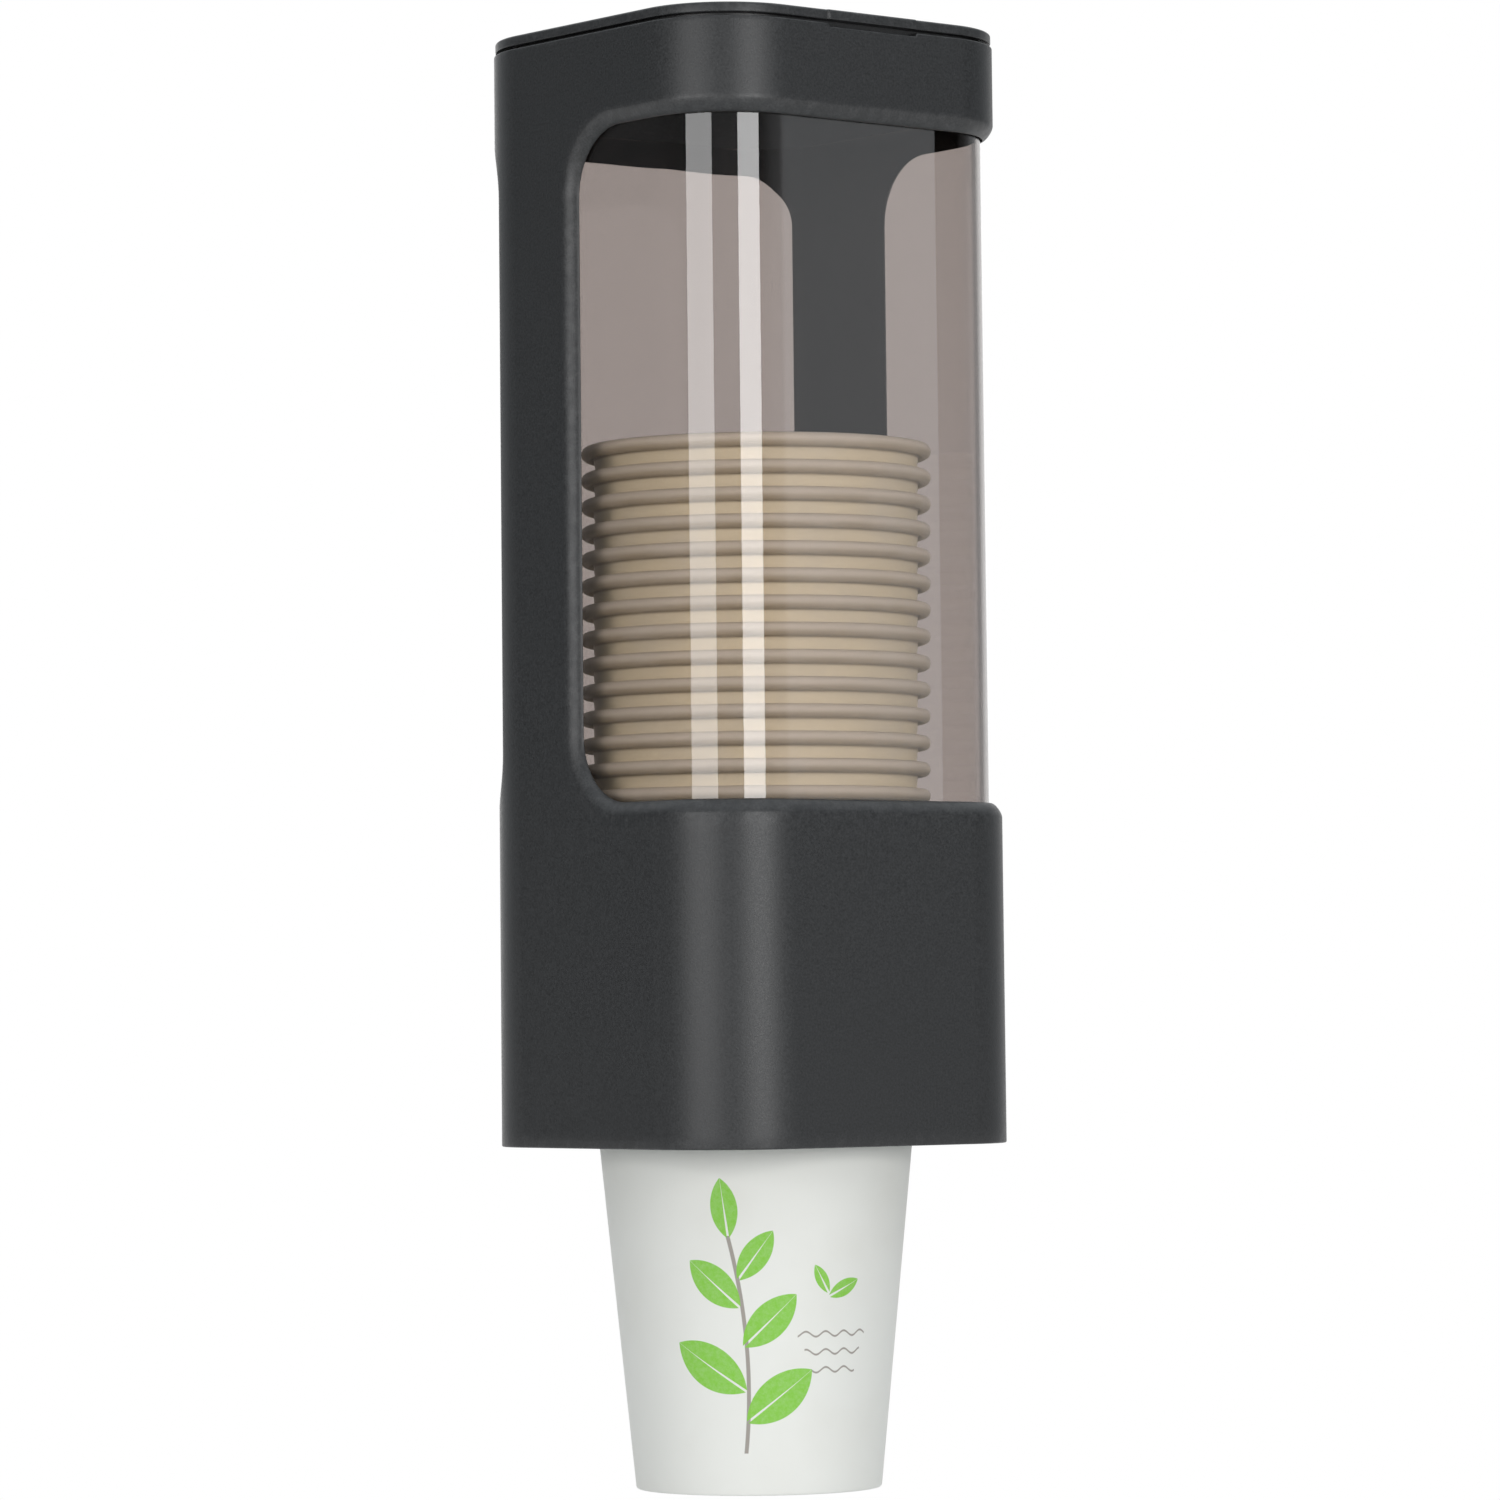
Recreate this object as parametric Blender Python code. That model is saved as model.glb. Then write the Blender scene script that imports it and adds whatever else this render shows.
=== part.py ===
"""Wall-hung dispenser for paper cups, loaded from the top and emptied by pulling the lowest cup.

Metres, +Z up, front towards -Y. The origin is the centre of the lower foam pad's wall face,
so the wall is the plane y = 0 and the dispenser stands in front of it.

The housing is one moulding: a skirt, two side columns and a top band round a smoked sleeve.
Its wall is worked out on the unrolled sheet of the body: s runs round the body from the
middle of the front, positive towards +X, and z runs up.
"""

import math

import bmesh
import bpy
import numpy as np
from mathutils import Matrix, Vector

# Gap that pieces keep where one rests on or passes through another
SEAT_GAP = 0.0003

# Paper cup
CUP_COUNT = 25
CUP_RIM_RADIUS = 0.0375
CUP_BEAD_OVERHANG = 0.0025
CUP_BEAD_HEIGHT = 0.0034
CUP_FLARE = 0.0086
CUP_HEIGHT = 0.0866
CUP_PAPER = 0.0003
CUP_FOOT_RECESS = 0.00514
CUP_FOOT_FOLD = 0.0009
CUP_LEAN_X = 0.00005
CUP_LEAN_Y = -0.00004
CUP_MOUTH_RADIUS = CUP_RIM_RADIUS - CUP_BEAD_OVERHANG
CUP_FOOT_RADIUS = CUP_MOUTH_RADIUS - CUP_FLARE
CUP_PITCH = CUP_FOOT_RECESS + CUP_PAPER + SEAT_GAP
CUP_SIDES = 20
BEAD_WAIST_SHARE = 0.35
BEAD_CROWN_SHARE = 0.8
BEAD_FLAT_SHARE = 0.5

# Shells round the cups, from the cup outwards
SHAFT_CLEARANCE = 0.00395
SHAFT_CLEARANCE_FRONT = 0.00255
SLEEVE_WALL = 0.0010
HOUSING_WALL = 0.0023
SLEEVE_INSET = HOUSING_WALL + SEAT_GAP
SHELL = SLEEVE_INSET + SLEEVE_WALL
HALF_WIDTH = CUP_RIM_RADIUS + SHAFT_CLEARANCE + SHELL
FRONT_REACH = CUP_RIM_RADIUS + SHAFT_CLEARANCE_FRONT + SHELL
BODY_DEPTH = HALF_WIDTH + FRONT_REACH
FACE_FLAT = 0.0483
CORNER_RADIUS = HALF_WIDTH - FACE_FLAT / 2
CORNER_STEPS = 6
DRAFT_SHARE = 0.0064

# Foam pads on the back
PAD_THICKNESS = 0.0010
PAD_WIDTH = 0.030
LOWER_PAD_MARGIN = 0.0165
UPPER_PAD_MARGIN = 0.00335

# Heights of the housing, from its lower edge
SKIRT_HEIGHT = 0.0730
OPENING_HEIGHT = 0.1437
BAND_HEIGHT = 0.0207
BODY_HEIGHT = SKIRT_HEIGHT + OPENING_HEIGHT + BAND_HEIGHT
LOWER_PAD_HEIGHT = SKIRT_HEIGHT - 2 * LOWER_PAD_MARGIN
UPPER_PAD_HEIGHT = BAND_HEIGHT - 2 * UPPER_PAD_MARGIN

# Places that everything else is set from
BACK_Y = -PAD_THICKNESS - SEAT_GAP
FRONT_Y = BACK_Y - BODY_DEPTH
THROAT_Y = BACK_Y - HALF_WIDTH
BOTTOM_Z = -SKIRT_HEIGHT / 2
SILL_Z = BOTTOM_Z + SKIRT_HEIGHT
BAND_Z = SILL_Z + OPENING_HEIGHT
SEAM_Z = BOTTOM_Z + BODY_HEIGHT

# Openings in the housing
WINDOW_TO_BACK = 0.0417
WINDOW_CORNER = 0.0145
BACK_OPENING_CORNER = 0.0120
BACK_EDGE_ANGLE = math.radians(28.8)
OPENING_ROUND = 0.0022
ROUND_STEPS = 2
BACK_BLEND_STEPS = 3
ZONE_STEPS = 3
COLUMN_SPLIT_SHARE = 0.5

# Lid and its hinge
LID_GAP = 0.0005
LID_THICKNESS = 0.0021
LID_EDGE_ROUND = 0.0006
LID_RIM_WALL = 0.0012
LID_RIM_DEPTH = 0.0035
LID_RIM_CLEARANCE = 0.0005
LID_RIM_TO_BACK = 0.0200
TAB_HALF_WIDTH = 0.0120
TAB_PROUD = 0.0003
TAB_SCOOP = 0.0007
TAB_RAMP = 0.0008
ROLL_RADIUS = 0.0019
ROLL_TO_SIDE = 0.01905
ROLL_HALF_LENGTH = HALF_WIDTH - ROLL_TO_SIDE
ROLL_SETBACK = 0.0005
WEB_END_GAP = 0.0020
KNUCKLE_RADIUS = 0.0023
KNUCKLE_DROP = 0.0045
KNUCKLE_TOP_DROP = 0.0003
REAR_EDGE_CLEARANCE = 0.0012
STRIP_RAMP = 0.0004
HINGE_PIN_RADIUS = 0.0010
HINGE_PIN_LENGTH = 0.0180
HINGE_PIN_IN_ROLL = 0.0090
LID_BOTTOM_Z = SEAM_Z + LID_GAP
LID_TOP_Z = LID_BOTTOM_Z + LID_THICKNESS
HINGE_Y = BACK_Y - HOUSING_WALL - ROLL_SETBACK - ROLL_RADIUS
HINGE_Z = LID_TOP_Z - KNUCKLE_TOP_DROP - ROLL_RADIUS
LID_REAR_Y = HINGE_Y - KNUCKLE_RADIUS - REAR_EDGE_CLEARANCE

# Smoked sleeve
SLEEVE_LAP_LOW = 0.0207
SLEEVE_LAP_HIGH = 0.0060

# Throat collar, the plate that closes the skirt round the lowest cup
COLLAR_RISE = 0.0099
COLLAR_PLATE = 0.0025
COLLAR_WALL = 0.0012
COLLAR_HEIGHT = 0.0190
RIM_CLEARANCE = 0.0008
COLLAR_Z = BOTTOM_Z + COLLAR_RISE
COLLAR_TOP_Z = COLLAR_Z + COLLAR_PLATE
THROAT_RADIUS = CUP_RIM_RADIUS + RIM_CLEARANCE
THROAT_SIDES = 40

# Size dials under the collar, with the flexible tongues that hold the lowest cup's rim
DIAL_RADIUS = 0.0055
DIAL_THICKNESS = 0.0030
DIAL_TO_THROAT = 0.0006
DIAL_GRIP_WIDTH = 0.0026
DIAL_GRIP_HEIGHT = 0.0014
DIAL_GRIP_LENGTH = 0.0100
DIAL_SIDES = 20
DIAL_ORBIT = THROAT_RADIUS + DIAL_TO_THROAT + DIAL_RADIUS
DIAL_TOP_Z = COLLAR_Z - SEAT_GAP
DIAL_BOTTOM_Z = DIAL_TOP_Z - DIAL_THICKNESS
TONGUE_WIDTH = 0.0040
TONGUE_THICKNESS = 0.0012
TONGUE_DROP = 0.0005
TONGUE_CUP_CLEARANCE = 0.0007
TONGUE_ROOT = 0.0026
TONGUE_TOP_Z = COLLAR_Z - TONGUE_DROP
TONGUE_BOTTOM_Z = TONGUE_TOP_Z - TONGUE_THICKNESS

# Screws
SCREW_RADIUS = 0.0012
SCREW_HEAD_RADIUS = 0.0022
SCREW_HEAD_HEIGHT = 0.0016
SCREW_BITE = 0.0080
SCREW_SLOT_WIDTH = 0.0006
SCREW_SLOT_DEPTH = 0.0007
SCREW_SIDES = 12
HOLE_RADIUS = SCREW_RADIUS + SEAT_GAP
BOSS_RADIUS = 0.0032
BOSS_HEIGHT = 0.0058
BOSS_SIDES = 16
BLIND_END = 0.0010
POST_OFFSET_Y = 0.0170
POST_BEDDING = 0.0008
WALL_HOLE_RADIUS = 0.0022
WALL_HOLE_OFFSET = 0.0195
KNOCKOUT_WEB = 0.0008
HOLE_SIDES = 16

# Two places this share of a step or gap apart are one, and an even step this near a mark gives way
SAME_PLACE_SHARE = 1 / 1000
CROWDED_SHARE = 1 / 3

# How far a cutter runs past what it cuts, and a joined piece into what it joins
OVERRUN = 0.0010

# Where the lowest cup hangs: its bead rests on the tongues
CUP_BASE_Z = TONGUE_TOP_Z + SEAT_GAP + CUP_BEAD_HEIGHT - CUP_HEIGHT

# Lengths along the unrolled body, from the middle of the front
FLAT_HALF = FACE_FLAT / 2
CORNER_ARC = CORNER_RADIUS * math.pi / 2
SIDE_FLAT = BODY_DEPTH - 2 * CORNER_RADIUS
SIDE_START = FLAT_HALF + CORNER_ARC
SIDE_END = SIDE_START + SIDE_FLAT
BACK_START = SIDE_END + CORNER_ARC
BACK_MIDDLE = BACK_START + FLAT_HALF
FULL_TURN = 2 * BACK_MIDDLE
WINDOW_EDGE = SIDE_END + CORNER_RADIUS - WINDOW_TO_BACK
BACK_EDGE = SIDE_END + CORNER_RADIUS * BACK_EDGE_ANGLE
COLUMN_SPLIT = WINDOW_EDGE + (BACK_EDGE - WINDOW_EDGE) * COLUMN_SPLIT_SHARE

CORNERS = {
    "front_left": (-1, -1),
    "front_right": (1, -1),
    "rear_left": (-1, 1),
    "rear_right": (1, 1),
}


def remove_everything():
    """Empties the scene, so that the script always starts from nothing."""
    for item in list(bpy.data.objects):
        bpy.data.objects.remove(item)


def make_material(name, colour, roughness, metallic=0.0, alpha=1.0):
    """A Principled BSDF of one colour."""
    material = bpy.data.materials.new(name)
    material.use_nodes = True
    shader = material.node_tree.nodes["Principled BSDF"]
    shader.inputs["Base Color"].default_value = (*colour, 1.0)
    shader.inputs["Roughness"].default_value = roughness
    shader.inputs["Metallic"].default_value = metallic
    shader.inputs["Alpha"].default_value = alpha
    material.diffuse_color = (*colour, alpha)
    return material


def finish_mesh(name, mesh_data, material=None, smooth_angle=math.radians(35)):
    """Turns a bmesh into an object with its faces outwards and round parts shaded smooth."""
    bmesh.ops.recalc_face_normals(mesh_data, faces=mesh_data.faces)
    mesh = bpy.data.meshes.new(name)
    mesh_data.to_mesh(mesh)
    mesh_data.free()
    mesh.shade_smooth()
    mesh.set_sharp_from_angle(angle=smooth_angle)
    if material:
        mesh.materials.append(material)
    item = bpy.data.objects.new(name, mesh)
    bpy.context.collection.objects.link(item)
    return item


def join_loops(mesh_data, first, second):
    """Quads between two rings of vertices with the same count."""
    count = len(first)
    for i in range(count):
        j = (i + 1) % count
        mesh_data.faces.new((first[i], first[j], second[j], second[i]))


def add_stack(mesh_data, loops):
    """A closed solid through a list of loops, with flat caps on the first and the last."""
    rings = [[mesh_data.verts.new(point) for point in loop] for loop in loops]
    for lower, upper in zip(rings, rings[1:]):
        join_loops(mesh_data, lower, upper)
    mesh_data.faces.new(rings[0])
    mesh_data.faces.new(rings[-1])


def add_ring(mesh_data, loops):
    """A closed ring-shaped solid: each loop joins the next, and the last joins the first."""
    rings = [[mesh_data.verts.new(point) for point in loop] for loop in loops]
    for lower, upper in zip(rings, rings[1:] + rings[:1]):
        join_loops(mesh_data, lower, upper)


def add_rod(mesh_data, start, end, radius, sides, end_radius=None):
    """A straight rod, or a cone, between two points."""
    start, end = Vector(start), Vector(end)
    along = end - start
    turn = Vector((0, 0, 1)).rotation_difference(along).to_matrix().to_4x4()
    place = Matrix.Translation((start + end) / 2) @ turn
    bmesh.ops.create_cone(
        mesh_data, cap_ends=True, segments=sides, radius1=radius,
        radius2=radius if end_radius is None else end_radius, depth=along.length, matrix=place,
    )


def add_block(mesh_data, low, high, turn=None):
    """A box between two corners, turned about the origin by a matrix if one is given."""
    low, high = Vector(low), Vector(high)
    size = Matrix.Diagonal((*(high - low), 1.0))
    place = Matrix.Translation((low + high) / 2) @ size
    bmesh.ops.create_cube(mesh_data, size=1.0, matrix=(turn @ place) if turn else place)


def apply_tool(target, name, mesh_data, operation):
    """Joins a hidden guide solid to the target, or cuts it away, with a Boolean modifier."""
    tool = finish_mesh(name, mesh_data)
    tool.hide_render = True
    tool.display_type = "WIRE"
    modifier = target.modifiers.new(name, "BOOLEAN")
    modifier.operation = operation
    modifier.object = tool


def outline(s):
    """Point and outward direction on the body's outline in plan, for a place s round the body."""
    s = (s + BACK_MIDDLE) % FULL_TURN - BACK_MIDDLE
    hand = -1 if s < 0 else 1
    t = abs(s)
    if t <= FLAT_HALF:
        x, y, nx, ny = t, FRONT_Y, 0, -1
    elif t <= SIDE_START:
        a = (t - FLAT_HALF) / CORNER_RADIUS
        nx, ny = math.sin(a), -math.cos(a)
        x = FLAT_HALF + CORNER_RADIUS * nx
        y = FRONT_Y + CORNER_RADIUS + CORNER_RADIUS * ny
    elif t <= SIDE_END:
        x, y, nx, ny = HALF_WIDTH, FRONT_Y + CORNER_RADIUS + (t - SIDE_START), 1, 0
    elif t <= BACK_START:
        a = (t - SIDE_END) / CORNER_RADIUS
        nx, ny = math.cos(a), math.sin(a)
        x = FLAT_HALF + CORNER_RADIUS * nx
        y = BACK_Y - CORNER_RADIUS + CORNER_RADIUS * ny
    else:
        x, y, nx, ny = BACK_MIDDLE - t, BACK_Y, 0, 1
    return hand * x, y, hand * nx, ny


def skin(s, z, depth=0.0):
    """Point of the body at a place on the sheet, a depth inside its surface.

    The plan shrinks a little with height, towards the middle of the back.
    """
    x, y, nx, ny = outline(s)
    shrink = 1 - DRAFT_SHARE * (z - BOTTOM_Z) / BODY_HEIGHT
    x, y = x - nx * depth, y - ny * depth
    return Vector((x * shrink, BACK_Y + (y - BACK_Y) * shrink, z))


def corner_marks():
    """Places s of the steps round the body's four corners."""
    steps = [CORNER_ARC * i / CORNER_STEPS for i in range(CORNER_STEPS + 1)]
    right = [start + step for start in (FLAT_HALF, SIDE_END) for step in steps]
    return [-s for s in reversed(right)] + right


def rear_place(y, depth):
    """Place s in the rear right corner where the skin at a depth reaches a given y."""
    rise = (y - (BACK_Y - CORNER_RADIUS)) / (CORNER_RADIUS - depth)
    return SIDE_END + CORNER_RADIUS * math.asin(min(max(rise, 0.0), 1.0))


def tab_marks():
    """Places s where the finger tab starts and ends."""
    return [-TAB_HALF_WIDTH - TAB_RAMP, -TAB_HALF_WIDTH, TAB_HALF_WIDTH, TAB_HALF_WIDTH + TAB_RAMP]


def strip_start():
    """Place s where the raised strip behind the lid starts, in the rear right corner."""
    return rear_place(HINGE_Y - KNUCKLE_RADIUS, HOUSING_WALL)


def top_edge_z(s):
    """Height of the housing's top edge: scooped under the tab, raised behind the lid."""
    place = abs((s + BACK_MIDDLE) % FULL_TURN - BACK_MIDDLE)
    ramp_end, strip = TAB_HALF_WIDTH + TAB_RAMP, strip_start()
    places = [0, TAB_HALF_WIDTH, ramp_end, strip - STRIP_RAMP, strip]
    heights = [SEAM_Z - TAB_SCOOP, SEAM_Z - TAB_SCOOP, SEAM_Z, SEAM_Z, LID_TOP_Z]
    return float(np.interp(place, places, heights))


def stations(low, high, count, marks=()):
    """Places from low to high in count steps, moved to the marks between them."""
    step = (high - low) / count
    nearest = step * SAME_PLACE_SHARE
    inner = [m for m in marks if low < m < high and min(m - low, high - m) > nearest]
    even = [low + step * i for i in range(1, count)]
    kept = [v for v in even if all(abs(v - m) > step * CROWDED_SHARE for m in inner)]
    return [low] + sorted(inner + kept) + [high]


def opening_patch(middle, half, corner, border, marks, blend_steps):
    """Grid of the housing wall round one opening, as rows of sheet points (s, z, depth).

    Each column of the grid runs from the patch's border in to the opening on the outer face,
    over the rounded edge, and back out to the border on the inner face.
    """
    low, high = SILL_Z + corner, BAND_Z - corner
    edge_low, edge_high = SILL_Z + WINDOW_CORNER, BAND_Z - WINDOW_CORNER
    z_low = stations(BOTTOM_Z, edge_low, ZONE_STEPS)
    z_high = stations(edge_high, top_edge_z(middle + border), ZONE_STEPS)
    side_z = stations(edge_low, edge_high, 1)
    flat = half - corner
    top_s = stations(middle - flat, middle + flat, 1, marks)
    zone_right = stations(middle + flat, middle + border, ZONE_STEPS, marks)
    zone_left = stations(middle - border, middle - flat, ZONE_STEPS, marks)

    columns = []

    def edge(points, base_from, base_to, normal, kind):
        """Columns along one straight side of the opening."""
        span = len(points) - 1
        for i, (bs, bz) in enumerate(points[:-1]):
            f = i / span
            if kind in ("top", "bottom"):
                base = (bs, base_from[1])
            else:
                base = (base_from[0], base_from[1] + (base_to[1] - base_from[1]) * f)
            columns.append(((bs, bz), base, normal, {kind}))

    def bend(points, kinds, centre, start_angle):
        """Columns round one corner of the opening, a quarter turn from start_angle."""
        span = len(points) - 1
        for i, (bs, bz) in enumerate(points[:-1]):
            a = start_angle + math.pi / 2 * i / span
            normal = (math.cos(a), math.sin(a))
            base = (centre[0] + corner * normal[0], centre[1] + corner * normal[1])
            columns.append(((bs, bz), base, normal, kinds[i]))

    right, left = middle + border, middle - border
    edge([(right, z) for z in side_z], (middle + half, low), (middle + half, high), (1, 0), "side")
    up = [(right, z) for z in z_high]
    over = [(s, top_edge_z(s)) for s in reversed(zone_right)]
    kinds = [{"side"}] * (len(up) - 1) + [{"side", "top"}] + [{"top"}] * (len(over) - 1)
    bend(up + over[1:], kinds, (middle + flat, high), 0.0)
    edge([(s, top_edge_z(s)) for s in reversed(top_s)], (0, BAND_Z), (0, BAND_Z), (0, 1), "top")
    over = [(s, top_edge_z(s)) for s in reversed(zone_left)]
    down = [(left, z) for z in reversed(z_high)]
    kinds = [{"top"}] * (len(over) - 1) + [{"side", "top"}] + [{"side"}] * (len(down) - 1)
    bend(over + down[1:], kinds, (middle - flat, high), math.pi / 2)
    side_down = list(reversed(side_z))
    side = middle - half
    edge([(left, z) for z in side_down], (side, high), (side, low), (-1, 0), "side")
    down = [(left, z) for z in reversed(z_low)]
    under = [(s, BOTTOM_Z) for s in zone_left]
    kinds = [{"side"}] * (len(down) - 1) + [{"side", "bottom"}] + [{"bottom"}] * (len(under) - 1)
    bend(down + under[1:], kinds, (middle - flat, low), math.pi)
    edge([(s, BOTTOM_Z) for s in top_s], (0, SILL_Z), (0, SILL_Z), (0, -1), "bottom")
    under = [(s, BOTTOM_Z) for s in zone_right]
    up = [(right, z) for z in z_low]
    kinds = [{"bottom"}] * (len(under) - 1) + [{"side", "bottom"}] + [{"side"}] * (len(up) - 1)
    bend(under + up[1:], kinds, (middle + flat, low), 3 * math.pi / 2)

    reach = min(OPENING_ROUND, HOUSING_WALL)
    rows = []
    for i in range(blend_steps + 1):
        f = i / blend_steps
        rows.append([blend(b, base, normal, reach, f) + (0.0,) for b, base, normal, _ in columns])
    for i in range(1, ROUND_STEPS + 1):
        a = math.pi / 2 * i / ROUND_STEPS
        away, depth = reach * (1 - math.sin(a)), reach * (1 - math.cos(a))
        row = [blend(b, base, normal, away, 1.0) for b, base, normal, _ in columns]
        rows.append([place + (depth,) for place in row])
    for i in range(blend_steps + 1):
        f = 1 - i / blend_steps
        row = [blend(b, base, normal, 0.0, f) for b, base, normal, _ in columns]
        rows.append([place + (HOUSING_WALL,) for place in row])
    return rows, [kinds for *_, kinds in columns]


def blend(border, base, normal, away, share):
    """Sheet point between the border and the opening's outline moved away from the opening."""
    target = (base[0] + normal[0] * away, base[1] + normal[1] * away)
    return tuple(border[i] + (target[i] - border[i]) * share for i in (0, 1))


def add_patch(mesh_data, rows, kinds):
    """Puts one opening's grid into the mesh and closes its top and bottom edges."""
    rings = [[mesh_data.verts.new(skin(*point)) for point in row] for row in rows]
    for outer, inner in zip(rings, rings[1:]):
        join_loops(mesh_data, outer, inner)
    count = len(kinds)
    for i in range(count):
        j = (i + 1) % count
        if {"top", "bottom"} & kinds[i] & kinds[j]:
            mesh_data.faces.new((rings[-1][i], rings[-1][j], rings[0][j], rings[0][i]))


def build_housing(plastic):
    """Skirt, side columns and top band in one moulding, with posts and hinge knuckles inside."""
    mesh_data = bmesh.new()
    marks = corner_marks() + tab_marks()
    add_patch(mesh_data, *opening_patch(0.0, WINDOW_EDGE, WINDOW_CORNER, COLUMN_SPLIT, marks, 1))
    rear = corner_marks() + [strip_start() - STRIP_RAMP, strip_start()]
    rear = [s % FULL_TURN for s in rear + [-s for s in rear]]
    half = BACK_MIDDLE - BACK_EDGE
    border = BACK_MIDDLE - COLUMN_SPLIT
    patch = opening_patch(BACK_MIDDLE, half, BACK_OPENING_CORNER, border, rear, BACK_BLEND_STEPS)
    add_patch(mesh_data, *patch)
    bmesh.ops.remove_doubles(mesh_data, verts=mesh_data.verts, dist=SEAT_GAP * SAME_PLACE_SHARE)
    housing = finish_mesh("housing", mesh_data, plastic)

    post_top = SILL_Z - SLEEVE_LAP_LOW - SEAT_GAP
    posts = bmesh.new()
    pilots = bmesh.new()
    for side, end in CORNERS.values():
        x, y = post_place(side, end)
        add_rod(posts, (x, y, COLLAR_TOP_Z + SEAT_GAP), (x, y, post_top), BOSS_RADIUS, BOSS_SIDES)
        bottom = COLLAR_TOP_Z + SEAT_GAP - OVERRUN
        top = COLLAR_TOP_Z + SCREW_BITE + BLIND_END
        add_rod(pilots, (x, y, bottom), (x, y, top), HOLE_RADIUS, SCREW_SIDES)
    apply_tool(housing, "housing_posts", posts, "UNION")

    knuckles = bmesh.new()
    for side in (-1, 1):
        loop = knuckle_outline(side)
        low, high = HINGE_Z - KNUCKLE_DROP, LID_TOP_Z - KNUCKLE_TOP_DROP
        add_stack(knuckles, [[Vector((x, y, z)) for x, y in loop] for z in (low, high)])
        reach = HALF_WIDTH + OVERRUN
        start = (side * (ROLL_HALF_LENGTH - OVERRUN), HINGE_Y, HINGE_Z)
        end = (side * reach, HINGE_Y, HINGE_Z)
        add_rod(pilots, start, end, HINGE_PIN_RADIUS + SEAT_GAP, SCREW_SIDES)
    apply_tool(housing, "housing_knuckles", knuckles, "UNION")

    lower = (BOTTOM_Z + SKIRT_HEIGHT / 2, HOUSING_WALL + OVERRUN)
    upper = (BAND_Z + BAND_HEIGHT / 2, HOUSING_WALL - KNOCKOUT_WEB)
    for side in (-1, 1):
        for z, depth in (lower, upper):
            start = (side * WALL_HOLE_OFFSET, BACK_Y - depth, z)
            end = (side * WALL_HOLE_OFFSET, BACK_Y + OVERRUN, z)
            add_rod(pilots, start, end, WALL_HOLE_RADIUS, HOLE_SIDES)
    apply_tool(housing, "housing_holes", pilots, "DIFFERENCE")
    return housing


def post_place(side, end):
    """Plan place of a screw post, bedded in the side wall of the skirt."""
    wall = HALF_WIDTH * (1 - DRAFT_SHARE * COLLAR_RISE / BODY_HEIGHT) - HOUSING_WALL
    return side * (wall + POST_BEDDING - BOSS_RADIUS), THROAT_Y + end * POST_OFFSET_Y


def knuckle_outline(side):
    """Plan of one hinge knuckle, which fills the rear corner inside the wall."""
    front = HINGE_Y - KNUCKLE_RADIUS
    inset = HOUSING_WALL / 2
    centre_x, centre_y = FLAT_HALF, BACK_Y - CORNER_RADIUS
    radius = CORNER_RADIUS - inset
    inner_x = ROLL_HALF_LENGTH + SEAT_GAP
    first = math.acos(min(max((inner_x - centre_x) / radius, 0.0), 1.0))
    last = math.asin((front - centre_y) / radius)
    shrink = 1 - DRAFT_SHARE
    points = [(inner_x, front)]
    for i in range(CORNER_STEPS + 1):
        a = last + (first - last) * i / CORNER_STEPS
        x, y = centre_x + radius * math.cos(a), centre_y + radius * math.sin(a)
        points.append((x * shrink, BACK_Y + (y - BACK_Y) * shrink))
    points[-1] = (inner_x, points[-1][1])
    return [(side * x, y) for x, y in points]


def build_sleeve(smoked):
    """Clear tube round the cup stack, standing on the posts and showing in both openings."""
    places = sorted({s % FULL_TURN for s in corner_marks()})
    low, high = SILL_Z - SLEEVE_LAP_LOW, BAND_Z + SLEEVE_LAP_HIGH
    levels = [(low, SLEEVE_INSET), (high, SLEEVE_INSET), (high, SHELL), (low, SHELL)]
    mesh_data = bmesh.new()
    add_ring(mesh_data, [[skin(s, z, depth) for s in places] for z, depth in levels])
    return finish_mesh("window_sleeve", mesh_data, smoked)


def lid_loop(z, inset, proud=0.0):
    """Outline of the lid at one height, from its rear left end round the front and back."""
    end = rear_place(LID_REAR_Y, 0.0)
    marks = [s for s in corner_marks() + tab_marks() if -end < s < end]
    loop = []
    for s in [-end] + sorted(marks) + [end]:
        bulge = proud if abs(s) <= TAB_HALF_WIDTH else 0.0
        loop.append(skin(s, z, inset - bulge))
    web = ROLL_HALF_LENGTH - WEB_END_GAP
    rear = [(web, LID_REAR_Y), (web, HINGE_Y), (-web, HINGE_Y), (-web, LID_REAR_Y)]
    return loop + [Vector((x, y, z)) for x, y in rear]


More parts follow.
